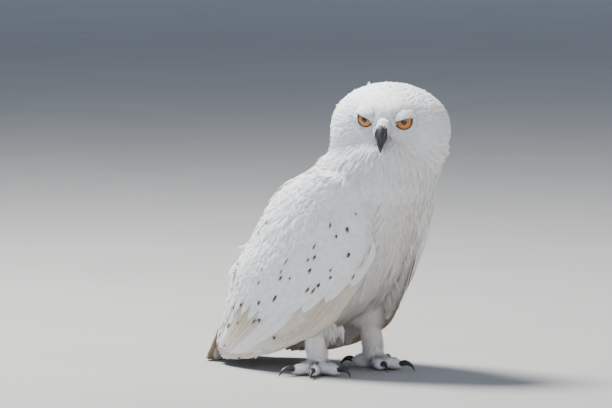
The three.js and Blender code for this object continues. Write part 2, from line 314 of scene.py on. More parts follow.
def coat_material(name, white, tan, rough=0.78, bump=0.0):
    m, nt, b = new_material(name)
    base = mix_colour(nt, attribute(nt, "warm"), white, tan)
    var = ramp(nt, noise(nt, 90, 4), [(0.3, grey(0.93)), (0.7, grey(1.0))])
    base = mix_colour(nt, 1.0, base, var, "MULTIPLY")
    # painted shade: the shade attribute darkens the colour towards the roots of the plumes and on the skin between
    # them; only its small random share per plume is the plumes' own tone
    dark = mix_colour(nt, attribute(nt, "shade"), grey(1.0), (0.5, 0.47, 0.45, 1))
    base = mix_colour(nt, 1.0, base, dark, "MULTIPLY")
    nt.links.new(base, b.inputs["Base Color"])
    b.inputs["Roughness"].default_value = rough
    b.inputs["Specular IOR Level"].default_value = 0.25
    if bump:
        bn = nt.nodes.new("ShaderNodeBump")
        bn.inputs["Strength"].default_value, bn.inputs["Distance"].default_value = bump, 0.0006
        nt.links.new(noise(nt, 900, 2), bn.inputs["Height"])
        nt.links.new(bn.outputs["Normal"], b.inputs["Normal"])
    return m


WHITE, TAN = (0.90, 0.915, 0.94, 1), (0.84, 0.71, 0.53, 1)
mat_coat = coat_material("coat_white", WHITE, TAN)
mat_skin = coat_material("skin_down", (0.86, 0.87, 0.89, 1), (0.80, 0.70, 0.56, 1), 0.85, 0.5)
# the tan of the long feathers is partly painted shade between the overlapping feathers and painted light shining
# through them; their white is their own colour
mat_vane = coat_material("vane_white", (0.89, 0.90, 0.93, 1), (0.54, 0.405, 0.25, 1), 0.6)


def feather_lines(m):
    """Fine barbs across a vane and a pale shaft along it, from the lengths stored on the mesh."""
    nt = m.node_tree
    b = nt.nodes["Principled BSDF"]
    base = b.inputs["Base Color"].links[0].from_socket

    def node(op, x, y=None, **k):
        n = nt.nodes.new("ShaderNodeMath")
        n.operation = op
        for i, val in enumerate((x, y)):
            if isinstance(val, bpy.types.NodeSocket):
                nt.links.new(val, n.inputs[i])
            elif val is not None:
                n.inputs[i].default_value = val
        return n.outputs[0]

    barb = attribute(nt, "barb")
    line = nt.nodes.new("ShaderNodeTexNoise")
    line.noise_dimensions = "1D"
    line.inputs["Scale"].default_value, line.inputs["Detail"].default_value = 0.55, 3.0
    nt.links.new(barb, line.inputs["W"])
    tone = ramp(nt, line.outputs["Fac"], [(0.36, grey(0.86)), (0.62, grey(1.0))])
    wave = node("SINE", node("MULTIPLY", barb, 9.0))
    far = node("ABSOLUTE", attribute(nt, "shaft"))
    shaft = node("SUBTRACT", 1.0, node("MULTIPLY", far, 1.5))
    shaft = node("MAXIMUM", shaft, 0.0)
    col = mix_colour(nt, 1.0, base, tone, "MULTIPLY")
    col = mix_colour(nt, shaft, col, (0.80, 0.72, 0.60, 1))
    nt.links.new(col, b.inputs["Base Color"])
    bn = nt.nodes.new("ShaderNodeBump")
    bn.inputs["Strength"].default_value, bn.inputs["Distance"].default_value = 0.25, 0.0002
    nt.links.new(node("ADD", wave, node("MULTIPLY", shaft, 3.0)), bn.inputs["Height"])
    nt.links.new(bn.outputs["Normal"], b.inputs["Normal"])


feather_lines(mat_vane)

mat_fleck, nt, b = new_material("fleck_brown")
brown = ramp(nt, noise(nt, 160, 3), [(0.3, (0.035, 0.022, 0.016, 1)), (0.75, (0.11, 0.075, 0.055, 1))])
nt.links.new(mix_colour(nt, attribute(nt, "warm"), brown, (0.55, 0.54, 0.55, 1)), b.inputs["Base Color"])
b.inputs["Roughness"].default_value = 0.75

mat_stain, nt, b = new_material("stain_red")
red = ramp(nt, noise(nt, 200, 3), [(0.3, (0.26, 0.07, 0.05, 1)), (0.75, (0.46, 0.20, 0.15, 1))])
nt.links.new(mix_colour(nt, attribute(nt, "warm"), red, (0.74, 0.57, 0.48, 1)), b.inputs["Base Color"])
b.inputs["Roughness"].default_value = 0.75

mat_horn, nt, b = new_material("horn_black")
nt.links.new(ramp(nt, noise(nt, 140, 4), [(0.3, (0.012, 0.013, 0.017, 1)), (0.8, (0.045, 0.047, 0.058, 1))]), b.inputs["Base Color"])
nt.links.new(ramp(nt, noise(nt, 260, 3), [(0.3, grey(0.28)), (0.8, grey(0.5))]), b.inputs["Roughness"])

mat_rim, nt, b = new_material("lid_dark")
nt.links.new(ramp(nt, noise(nt, 300, 3), [(0.3, (0.012, 0.009, 0.008, 1)), (0.8, (0.04, 0.03, 0.026, 1))]), b.inputs["Base Color"])
b.inputs["Roughness"].default_value = 0.45

# iris and pupil by their angle from the eye's axis, stored on the mesh
mat_eye, nt, b = new_material("eye_amber")
streak = mix_colour(nt, ramp(nt, noise(nt, 700, 4, 0.7), [(0.35, grey(0)), (0.65, grey(1))]), (0.30, 0.085, 0.002, 1), (0.72, 0.28, 0.006, 1))
iris = mix_colour(nt, attribute(nt, "edge"), streak, (0.10, 0.022, 0.002, 1))
ball = mix_colour(nt, attribute(nt, "outside"), iris, (0.010, 0.008, 0.007, 1))
col = mix_colour(nt, attribute(nt, "pupil"), ball, (0.003, 0.003, 0.004, 1))
nt.links.new(col, b.inputs["Base Color"])
b.inputs["Roughness"].default_value = 0.06
b.inputs["Coat Weight"].default_value = 0.6
b.inputs["Coat Roughness"].default_value = 0.02

# ------------------------------------------------------------------ skin
FLESH = ["head", "neck", "trunk"] + [f"{a}_{s}" for s in ("left", "right") for a in ("thigh", "tarsus")] + [f"toe_{s}_{t}" for s in ("left", "right") for t in ("inner", "middle", "outer", "hind")]


CORE_DEEP = 3.3


def wing_core(side):
    u, w = np.meshgrid(np.linspace(0.02, 0.95, 34), np.linspace(0.035, 0.965, 22), indexing="ij")
    deep = CORE_DEEP + 0 * u
    across = 1 - np.abs(2 * w - 1) ** 5
    full = wing_thick(u)
    near = 1 - sstep((u - 0.45) / 0.3)
    thick = (full * 1.15 * near + 3.0 * (1 - near)) * (0.45 + 0.55 * across)
    outer, inner = wing_point(u, w, deep, side), wing_point(u, w, deep + thick, side)
    return slab(outer, inner) if side > 0 else slab(outer[:, ::-1], inner[:, ::-1])


def tail_point(across, u, out):
    half = 34 + (TAIL_HALF - 34) * sstep(u * 1.3)
    arch = 7 * (1 - u * 0.4) * across ** 2
    end = 1 - 0.05 * across ** 2 * sstep((u - 0.8) / 0.2)
    y = 152 + (TAIL_Y - 152) * u * end
    z = 128 + (-4 - 128) * u ** 1.04 * end
    return np.stack([across * half, y + 0.866 * (out - arch), z + 0.5 * (out - arch)], -1)


def tail_core():
    u, a = np.meshgrid(np.linspace(0.0, 0.9, 20), np.linspace(-0.9, 0.9, 12), indexing="ij")
    return slab(tail_point(a, u, -1.9)[:, ::-1], tail_point(a, u, -3.6)[:, ::-1])


def joined(parts):
    v, f, n = [], [], 0
    for pv, pf in parts:
        v.append(pv)
        f += [g + n for g in (pf if isinstance(pf, list) else [pf])]
        n += len(pv)
    by = {}
    for g in f:
        by.setdefault(g.shape[1], []).append(g)
    return np.concatenate(v), [np.concatenate(g) for g in by.values()]


def ball(centre, radius):
    def place(T, U, size):
        a = np.pi * T
        return centre + radius * np.stack([np.sin(a) * np.cos(U), np.sin(a) * np.sin(U), -np.cos(a)], -1)
    t = np.linspace(0, 1, 17)
    turn = np.arange(24) * 2 * np.pi / 24
    T, U = np.meshgrid(t, turn, indexing="ij")
    p = place(T, U, 1)
    v = np.concatenate([p[:1, 0], p[1:-1].reshape(-1, 3), p[-1:, 0]])
    q = grid_faces(15, 24, True) + 1
    k = np.arange(24)
    first = np.stack([0 * k, 1 + (k + 1) % 24, 1 + k], 1)
    last = np.stack([0 * k + 361, 337 + k, 337 + (k + 1) % 24], 1)
    return v, [q, np.concatenate([first, last])]


sockets = [ball(eye_c[s], 17.0) for s in ("left", "right")]
raw = joined([node_mesh(n) for n in FLESH] + [wing_core(-1), wing_core(1), tail_core()] + sockets)
lump = mesh_of("skin_lump", raw[0], raw[1], smooth=False)
mod = lump.modifiers.new("remesh", "REMESH")
mod.mode, mod.voxel_size, mod.adaptivity = "VOXEL", 0.0027, 0.0
ev = lump.evaluated_get(bpy.context.evaluated_depsgraph_get())
me = bpy.data.meshes.new_from_object(ev)
bpy.data.objects.remove(lump)
sk = np.empty(len(me.vertices) * 3, np.float32)
me.vertices.foreach_get("co", sk)
sk = sk.reshape(-1, 3).astype(float) * 1000 - OFF
quads = np.empty(len(me.loops), np.int32)
me.loops.foreach_get("vertex_index", quads)
quads = quads.reshape(-1, 4)
bpy.data.meshes.remove(me)
edges = np.unique(np.sort(np.concatenate([quads[:, [0, 1]], quads[:, [1, 2]], quads[:, [2, 3]], quads[:, [3, 0]]]), 1), axis=0)
degree = np.bincount(edges.ravel(), minlength=len(sk)).astype(float)


def relaxed(x, n, lam=0.5, only=None):
    x = x.copy()
    for _ in range(n):
        cols = x if x.ndim == 2 else x[:, None]
        acc = np.stack([np.bincount(edges[:, 0], cols[edges[:, 1], k], len(x)) + np.bincount(edges[:, 1], cols[edges[:, 0], k], len(x)) for k in range(cols.shape[1])], 1)
        mean = acc / np.maximum(degree, 1)[:, None]
        step = lam * (mean - cols)
        if only is not None:
            step = step * only[:, None]
        x = x + (step if x.ndim == 2 else step[:, 0])
    return x


def quad_normals(v):
    d1, d2 = v[quads[:, 2]] - v[quads[:, 0]], v[quads[:, 3]] - v[quads[:, 1]]
    return np.cross(d1, d2)


def vertex_normals(v):
    q = quad_normals(v)
    n = np.stack([sum(np.bincount(quads[:, c], q[:, k], len(v)) for c in range(4)) for k in range(3)], 1)
    return norm(n)


# which solid each point of the skin belongs to
names, cv, ct, owner, base = [], [], [], [], 0
for n in FLESH + ["wing_left", "wing_right", "tail"]:
    v, t = node_mesh(n)
    cv.append(v)
    ct.append(t + base)
    owner += [len(names)] * len(t)
    base += len(v)
    names.append(n)
cad_tree = BVHTree.FromPolygons([tuple(p) for p in np.concatenate(cv)], [tuple(int(i) for i in t) for t in np.concatenate(ct)])
owner = np.array(owner)
label = owner[[cad_tree.find_nearest(p)[2] for p in sk]]
kind = {k: np.array([n.startswith(k) for n in names])[label] for k in ("head", "neck", "trunk", "thigh", "tarsus", "toe", "wing", "tail")}
weight = {k: relaxed(v.astype(float), 8) for k, v in kind.items()}
sk = relaxed(sk, 5)
sn = vertex_normals(sk)

# wing coordinates of the skin's wing points
ug, wg = np.meshgrid(np.linspace(0, 1, 61), np.linspace(0, 1, 37), indexing="ij")
wing_dir = norm(wing_point(np.clip(ug + 0.02, 0, 1), wg, 3.4) - wing_point(np.clip(ug - 0.02, 0, 1), wg, 3.4))
wing_pts = wing_point(ug, wg, 3.4)
wing_out = norm(np.cross(wing_dir, wing_point(ug, np.clip(wg + 0.02, 0, 1), 3.4) - wing_point(ug, np.clip(wg - 0.02, 0, 1), 3.4)))
if (wing_out[30, 18] * [-1, 0, 0]).sum() < 0:
    wing_out = -wing_out
kd = KDTree(ug.size)
for i, p in enumerate(wing_pts.reshape(-1, 3)):
    kd.insert(p, i)
kd.balance()
wing_u, wing_w = np.zeros(len(sk)), np.zeros(len(sk))
wing_flow, wing_face = np.zeros((len(sk), 3)), np.zeros(len(sk))
near_wing = np.flatnonzero(weight["wing"] > 0.02)
for i in near_wing:
    p = sk[i]
    m = -1.0 if p[0] > 0 else 1.0
    j = kd.find(Vector((p[0] * m, p[1], p[2])))[1]
    a, c = divmod(j, 37)
    wing_u[i], wing_w[i] = ug[a, c], wg[a, c]
    wing_flow[i] = wing_dir[a, c] * [m, 1, 1]
    wing_face[i] = (wing_out[a, c] * [m, 1, 1] * sn[i]).sum()

# how deep the skin lies under the tips of the coat, in mm, and how far it is drawn in from the solids
hp = from_head(sk)
eye_gap = np.minimum(*[np.linalg.norm(hp - [k * EYE_X, EYE_Y - 8, EYE_Z], axis=1) for k in (-1, 1)])
face_w = np.exp(-((np.linalg.norm((hp - [0, -60, 5]) / [1.0, 1.0, 1.0], axis=1) / 40.0) ** 4))
head_depth = 5.0 - 2.6 * face_w
outer = sstep((wing_face + 0.25) / 0.5)
draw_in = (
    weight["head"] * head_depth + weight["neck"] * 7.0 + weight["trunk"] * 7.0 + weight["thigh"] * 5.0
    + weight["tarsus"] * 2.6 + weight["toe"] * 2.0
)
depth = draw_in + weight["wing"] * (1.6 + 1.8 * outer) + weight["tail"] * 2.4
draw_in = relaxed(draw_in, 6)
sk = sk - sn * draw_in[:, None]
sk = relaxed(sk, 3, 0.4)
nape = np.exp(-(((sk[:, 2] - 284) / 24) ** 2)) * sstep((from_head(sk)[:, 1] + 22) / 26) * sstep((weight["head"] + weight["neck"] + weight["trunk"]) * 1.2)
sk = relaxed(sk, 60, 0.55, only=nape.clip(0, 1))
sk[:, 2] = np.maximum(sk[:, 2], 1.2)
sn = vertex_normals(sk)
depth = relaxed(depth, 6)

# ------------------------------------------------------------------ lids
EYEBALL, BULGE = 15.9, 0.072
LID_LINE = {"left": (2.5, 0.37), "right": (1.7, 0.47)}  # height over the pupil and slope down to the bill


def eyeball_radius(ang):
    return EYEBALL * (1 + BULGE * np.exp(-((ang / 0.62) ** 4)))


def opening(turn, side):
    """Distance in mm from the pupil to the lid's edge; turn runs from the temple over the top to the bill."""
    c = np.array([0.1, 0.9])
    d = np.stack([np.cos(turn), np.sin(turn)], -1)
    b = d @ c
    round_edge = b + np.sqrt(b ** 2 - (c @ c - 10.7 ** 2))
    height, slope = LID_LINE[side]
    rise = np.maximum(d[..., 1] - slope * d[..., 0], 0.02)
    return (round_edge ** -6.0 + (height / rise) ** -6.0) ** (-1 / 6)


def eye_place(side, ang, turn, radius):
    k = 1 if side == "left" else -1
    p = np.stack([k * np.sin(ang) * np.cos(turn), -np.cos(ang), np.sin(ang) * np.sin(turn)], -1) * radius[..., None]
    ca, sa = math.cos(k * EYE_TOE), math.sin(k * EYE_TOE)
    q = np.stack([p[..., 0] * ca - p[..., 1] * sa, p[..., 0] * sa + p[..., 1] * ca, p[..., 2]], -1)
    return to_head(q + [k * EYE_X, EYE_Y, EYE_Z])


def lid(side):
    turn = np.arange(84) * 2 * np.pi / 84
    edge = np.arcsin(opening(turn, side) / 17.0)
    upper = np.exp(-(((turn - math.radians(100)) / math.radians(62)) ** 2))
    rim = 0.9 + 1.9 * np.exp(-(((turn - math.radians(188)) / math.radians(22)) ** 2)) + 0.3 * upper
    thick = 0.9 + 0.75 * upper
    rows = [(0, 0, -0.5), (0, 0, 0.35), (0.35, 0, 0.75), (1.0, 0, 1.0), (1.0, 1.1, 1.0)]
    grid, ang_all = [], []
    for r, extra, t in rows:
        ang = edge + (r * rim + extra) / 17.0
        grid.append(eye_place(side, ang, turn, eyeball_radius(ang) + t * (thick if t > 0 else 1)))
        ang_all.append(ang)
    start = ang_all[-1]
    last = np.maximum(1.22, start + 0.3)
    for f in (0.2, 0.4, 0.6, 0.8, 1.0):
        ang = start + (last - start) * f
        grid.append(eye_place(side, ang, turn, eyeball_radius(ang) + thick * (1 - f) - 0.6 * f))
        ang_all.append(ang)
    p = np.array(grid)
    q = grid_faces(len(grid), 84, True)
    v = p.reshape(-1, 3)
    n = np.cross(v[q[:, 2]] - v[q[:, 0]], v[q[:, 3]] - v[q[:, 1]])
    if (n[200:] * (v[q[200:, 0]] - eye_c[side])).sum() < 0:
        q = q[:, ::-1]
    over = (np.array(ang_all) - edge - rim / 17.0).reshape(-1) * 17.0  # mm beyond the dark margin
    return v, q, over


lids = {s: lid(s) for s in ("left", "right")}
skin_count, skin_quads = len(sk), len(quads)
beyond = np.full(len(sk), 99.0)
for s in ("left", "right"):
    v, q, over = lids[s]
    n0 = len(sk)
    k = len(v)
    nq = np.cross(v[q[:, 2]] - v[q[:, 0]], v[q[:, 3]] - v[q[:, 1]])
    nv = norm(np.stack([sum(np.bincount(q[:, c], nq[:, j], k) for c in range(4)) for j in range(3)], 1))
    sk, sn = np.concatenate([sk, v]), np.concatenate([sn, nv])
    quads = np.concatenate([quads, q + n0])
    depth = np.concatenate([depth, np.interp(over, [0, 4], [0.5, 1.8])])
    beyond = np.concatenate([beyond, over])
    for key in weight:
        weight[key] = np.concatenate([weight[key], np.full(k, 1.0 if key == "head" else 0.0)])
    wing_u, wing_w, wing_face = (np.concatenate([x, np.zeros(k)]) for x in (wing_u, wing_w, wing_face))
    wing_flow = np.concatenate([wing_flow, np.zeros((k, 3))])
hp = from_head(sk)
face_w = np.exp(-((np.linalg.norm((hp - [0, -60, 5]), axis=1) / 40.0) ** 4))
edges = np.unique(np.sort(np.concatenate([quads[:, [0, 1]], quads[:, [1, 2]], quads[:, [2, 3]], quads[:, [3, 0]]]), 1), axis=0)
degree = np.bincount(edges.ravel(), minlength=len(sk)).astype(float)

# ------------------------------------------------------------------ lie of the plumage
sweep = 0.18 + 0.25 * sstep((sk[:, 1] + 60) / 160) + 0.75 * sstep((215 - sk[:, 2]) / 110)
body_flow = norm(np.stack([0 * sk[:, 0], sweep, -1 + 0 * sk[:, 2]], 1))
to_bill = norm(hp - [0, -54, 9])
radial = 0
for k in (-1, 1):
    d = hp - [k * EYE_X, EYE_Y - 10, EYE_Z]
    r = np.linalg.norm(d, axis=1)
    above = sstep((hp[:, 2] - EYE_Z) / 8) * np.exp(-((r / 24) ** 2))
    radial = radial + norm(d) * np.exp(-((r / 26) ** 2))[:, None] * 1.6 + np.array([k * 1.3, 0, 0.35]) * above[:, None]
head_flow = norm(to_bill + radial) @ HT[:3, :3].T
# at the nape and throat the head's feathers turn to lie with the body's
fall = sstep((290 - sk[:, 2]) / 40)[:, None]
head_flow = norm(head_flow * (1 - fall) + norm(np.stack([0 * fall[:, 0], 0.15 + 0 * fall[:, 0], -1 + 0 * fall[:, 0]], 1)) * fall)
foot = np.stack([np.where(sk[:, 0] > 0, FOOT_X, -FOOT_X), 0 * sk[:, 0], 12 + 0 * sk[:, 0]], 1)
toe_flow = norm((sk - foot) * [1, 1, 0.3] + [0, 0, -0.02])
tail_flow = np.array([0, 0.49, -0.87])
down = np.array([0, 0.16, -1.0])
flow = (
    weight["head"][:, None] * head_flow + weight["neck"][:, None] * norm(body_flow + [0, 0, -0.4]) + weight["trunk"][:, None] * body_flow
    + (weight["thigh"] + weight["tarsus"])[:, None] * down + weight["toe"][:, None] * toe_flow
    + weight["wing"][:, None] * wing_flow + weight["tail"][:, None] * tail_flow
)
flow = flow - (flow * sn).sum(1, keepdims=True) * sn
flow = norm(relaxed(flow, 4))

skin_tree = BVHTree.FromPolygons([tuple(p) for p in sk], [tuple(int(i) for i in q) for q in quads])
fn, ff, fd = norm(sn[quads].mean(1)), norm(flow[quads].mean(1)), depth[quads].mean(1)
fc = sk[quads].mean(1)
area = np.linalg.norm(quad_normals(sk), axis=1) / 2
fw = {k: weight[k][quads].mean(1) for k in weight}
f_u, f_w, f_face = wing_u[quads].mean(1), wing_w[quads].mean(1), wing_face[quads].mean(1)
f_hp = from_head(fc)
f_facew = face_w[quads].mean(1)


def nearest(p):
    loc = np.empty_like(p)
    idx = np.empty(len(p), int)
    find = skin_tree.find_nearest
    for i, q in enumerate(p.tolist()):
        a = find(q)
        loc[i], idx[i] = a[0], a[2]
    return loc, idx


def sow(mask, spacing):
    """Roots spread evenly over the faces in mask, spacing apart. spacing may vary by face."""
    faces = np.flatnonzero(mask)
    space = np.broadcast_to(spacing, (len(quads),))[faces]
    want = area[faces] / space ** 2
    pick = np.repeat(faces, rng.poisson(want * 5.0))
    a, b = rng.random((2, len(pick), 1))
    q = sk[quads[pick]]
    p = (q[:, 0] * (1 - a) + q[:, 1] * a) * (1 - b) + (q[:, 3] * (1 - a) + q[:, 2] * a) * b
    s = np.broadcast_to(spacing, (len(quads),))[pick]
    level = np.round(np.log(s) / np.log(1.12)).astype(int)
    order = rng.permutation(len(p))
    p, pick, level = p[order], pick[order], level[order]
    cell = np.floor(p / (1.12 ** level * 0.93)[:, None]).astype(np.int64)
    key = ((cell[:, 0] * 73856093) ^ (cell[:, 1] * 19349663) ^ (cell[:, 2] * 83492791)) * 64 + level
    _, first = np.unique(key, return_index=True)
    return p[first], pick[first]


def march(p, length, S, veer, lie=None):
    """Centre lines that follow the skin along the lie of the plumage."""
    n = len(p)
    C, N, T = np.empty((3, S + 1, n, 3))
    D = np.empty((S + 1, n))
    cur, t = p, None
    c, s = np.cos(veer)[:, None], np.sin(veer)[:, None]
    for k in range(S + 1):
        loc, idx = nearest(cur)
        nn, f = fn[idx], ff[idx] if lie is None else lie(loc, idx)
        f = f * c + np.cross(nn, f) * s
        if t is not None:
            f = 0.55 * t + 0.45 * f
        f = norm(f - (f * nn).sum(1, keepdims=True) * nn)
        C[k], N[k], T[k], D[k] = loc, nn, f, fd[idx]
        t = f
        cur = loc + f * (length / S)[:, None]
    return C, N, T, D


def strand(p, d, n, length, S, bend=0.0, tall=1.0):
    """Centre lines that leave the skin: from p along d, bent by the vector bend (in parts of the length) towards the tip."""
    s = np.linspace(0, 1, S + 1)[:, None, None]
    length = np.broadcast_to(length, (len(p),))[None, :, None]
    d, bend = norm(np.broadcast_to(d, p.shape)), np.broadcast_to(bend, p.shape)
    C = p + d * length * s + bend * length * s ** 2
    T = norm(d + 2 * bend * s + 0 * C)
    n = np.broadcast_to(n, p.shape)
    N = norm(n - (n * T).sum(-1, keepdims=True) * T)
    return C, N, T, np.full((S + 1, len(p)), float(tall))


class Coat:
    """Collects the strips of many plumes and writes them as pieces of under 200,000 triangles."""

    def __init__(self, name, unwrap, material, slot="plumage"):
        self.name, self.unwrap, self.material, self.slot = name, unwrap, material, slot
        self.v, self.n, self.uv, self.warm, self.shade, self.f, self.root, self.count = [], [], [], [], [], [], [], 0

    def plumes(self, p, length, width, K, S, split=0.5, h0=0.15, h1=1.0, narrow=0.45, cup=0.25, rag=0.12, round_=0.3,
               veer=0.08, lift=0.0, jitter=0.5, warm=0.0, shade=None, shade_root=0.14, puff=0.4, point=0.16, power=0.8, lie=None, patch=0.003, path=None):
        """Each plume is K strips side by side that part towards the tip. h0 and h1 are the heights of root and tip as shares of the coat's depth."""
        N = len(p)
        if N == 0:
            return
        length, width = np.broadcast_to(length, (N,)).astype(float), np.broadcast_to(width, (N,)).astype(float)
        C, NN, T, D = path if path is not None else march(p, length, S, rng.normal(0, 1, N) * veer, lie)
        B = np.cross(T, NN)
        k = np.arange(K)
        a = ((k + 0.5) / K - 0.5) if K > 1 else np.zeros(1)
        f = 1 - round_ * (2 * np.abs(a))[:, None] ** 2.2 + rng.normal(0, 1, (K, N)) * rag
        f = np.clip(f, 0.35, 1.15)
        s1 = np.linspace(0, 1, S + 1)
        s = s1[:, None, None] * f[None]  # (S+1, K, N)
        x = np.clip(s, 0, 0.9999) * S
        i = x.astype(int)
        fr = (x - i)[..., None]
        n_i = np.broadcast_to(np.arange(N), i.shape)
        i2 = np.minimum(i + 1, S)

        def at(A):
            return A[i, n_i] * (1 - fr) + A[i2, n_i] * fr if A.ndim == 3 else A[i, n_i] * (1 - fr[..., 0]) + A[i2, n_i] * fr[..., 0]

        c, nn, t, b, d = at(C), at(NN), at(T), at(B), at(D)
        c = c + t * ((s - np.clip(s, 0, 1)) * length)[..., None]
        grown = narrow + (1 - narrow) * np.sin(np.minimum(s / 0.6, 1) * np.pi / 2)
        lat = a[None, :, None] * width * grown
        taper = np.where(s1 < split, 1.0, 1 - (1 - point) * ((s1 - split) / (1 - split)).clip(0) ** 1.4)[:, None, None]
        hw = 0.5 * width / K * 1.22 * grown * taper
        H0, H1 = np.broadcast_to(h0, (N,)), np.broadcast_to(h1, (N,))
        mid = rng.normal(0, 1, N) * 0.06
        h = d * (H0 + (H1 + mid - H0) * s ** power)
        h = h + s * rng.normal(0, 1, (K, N)) * jitter
        h = h - cup * width * (2 * a[None, :, None]) ** 2 * 0.25 * grown + np.broadcast_to(lift, (N,)) * length * s ** 2
        mid_pt = c + nn * h[..., None]
        roll = rng.normal(0, 0.18, (K, N))
        bb = b * np.cos(roll)[None, ..., None] + nn * (np.sin(roll) - cup * 0.6 * a[:, None])[None, ..., None]
        L = mid_pt + b * (lat[..., None]) - bb * hw[..., None]
        R = mid_pt + b * (lat[..., None]) + bb * hw[..., None]
        v = np.stack([L, R], 3)  # (S+1, K, N, 2, 3)
        v[..., 2] = np.maximum(v[..., 2], 0.6)
        side = np.stack([lat - hw, lat + hw], 3) / (0.5 * width)[None, None, :, None]
        cn = norm(nn[..., None, :] + b[..., None, :] * (side * puff)[..., None] + t[..., None, :] * (0.35 * puff * (s ** 3))[..., None, None])
        root = self.unwrap(p)
        uv = np.empty((S + 1, K, N, 2, 2))
        uv[..., 0] = root[None, None, :, None, 0] + patch * np.array([0.0, 1.0])[None, None, None, :]
        uv[..., 1] = root[None, None, :, None, 1] + patch * s1[:, None, None, None]
        wm = np.broadcast_to(np.broadcast_to(warm, (N,))[None, None, :, None], (S + 1, K, N, 2))
        shade = 0.16 * rng.random(N) ** 2 if shade is None else shade
        # painted shade: each plume is darker towards its root by shade_root, where the plumes over it would shade it;
        # the random share set by shade is the plume's own tone
        sh = np.broadcast_to(shade, (N,))[None, None, :, None] + shade_root * (1 - s1)[:, None, None, None] + np.zeros((S + 1, K, N, 2))
        order = (2, 1, 0, 3)  # plume by plume, so that a piece can be cut anywhere
        V = v.transpose(*order, 4).reshape(-1, 3)
        stride_s, stride_k, stride_n = 2, 2 * (S + 1), 2 * (S + 1) * K
        base = (np.arange(N)[:, None, None] * stride_n + k[None, :, None] * stride_k + np.arange(S)[None, None, :] * stride_s).ravel()
        F = np.stack([base, base + 1, base + 3, base + 2], 1)
        self.v.append(V)
        self.n.append(cn.transpose(*order, 4).reshape(-1, 3))
        self.uv.append(uv.transpose(*order, 4).reshape(-1, 2))
        self.warm.append(wm.transpose(order).ravel())
        self.shade.append(sh.transpose(order).ravel())
        self.f.append(F + self.count)
        self.count += len(V)

    def build(self, replaces=()):
        v, n, uv = np.concatenate(self.v), np.concatenate(self.n), np.concatenate(self.uv)
        warm, shade, f = np.concatenate(self.warm), np.concatenate(self.shade), np.concatenate(self.f)
        made = []
        parts = int(np.ceil(len(f) * 2 / 190000))
        cut = np.linspace(0, len(f), parts + 1).astype(int)
        for i in range(parts):
            g = f[cut[i]:cut[i + 1]]
            used, inv = np.unique(g, return_inverse=True)
            g = inv.reshape(g.shape)
            ob = mesh_of(self.name if parts == 1 else f"{self.name}_{i + 1}", v[used], g, [self.material])
            me = ob.data
            layer = me.uv_layers.new(name="OFBake")
            layer.data.foreach_set("uv", uv[used][g.ravel()].astype(np.float32).ravel())
            for key, val in (("warm", warm), ("shade", shade)):
                at = me.attributes.new(key, "FLOAT", "POINT")
                at.data.foreach_set("value", val[used].clip(0, 1).astype(np.float32))
            me.normals_split_custom_set_from_vertices(n[used])
            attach(ob, "root")
            made.append(ob)
        print(self.name, "triangles", len(f) * 2, "pieces", parts)
        return made


def cylinder_unwrap(zlo, zhi):
    def unwrap(p):
        c = trunk_at(np.clip(p[:, 2], 48, 320))[:, 1]
        a = np.arctan2(p[:, 0], -(p[:, 1] - c)) / (2 * np.pi) + 0.5
        return np.stack([0.004 + 0.988 * a, 0.004 + 0.988 * ((p[:, 2] - zlo) / (zhi - zlo)).clip(0, 1)], 1)
    return unwrap


def head_unwrap(p):
    h = norm(from_head(p))
    a = np.arctan2(h[:, 0], -h[:, 1]) / (2 * np.pi) + 0.5
    return np.stack([0.004 + 0.988 * a, 0.004 + 0.988 * (np.arccos(h[:, 2].clip(-1, 1)) / np.pi)], 1)


def wing_unwrap(side):
    def unwrap(p):
        out = np.empty((len(p), 2))
        for i, q in enumerate(p):
            j = kd.find(Vector((q[0] * (-side), q[1], q[2])))[1]
            a, c = divmod(j, 37)
            out[i] = ug[a, c], wg[a, c]
        fine = 0.018 * rng.random((len(p), 2))
        return 0.004 + 0.965 * out + fine
    return unwrap


def foot_unwrap(p):
    x = (np.abs(p[:, 0]) - 0) / 110
    y = (p[:, 1] + 75) / 150
    low = (p[:, 2] < 8) * 0.5
    return np.stack([0.004 + 0.49 * x.clip(0, 1) + low, 0.004 + 0.98 * y.clip(0, 1)], 1)


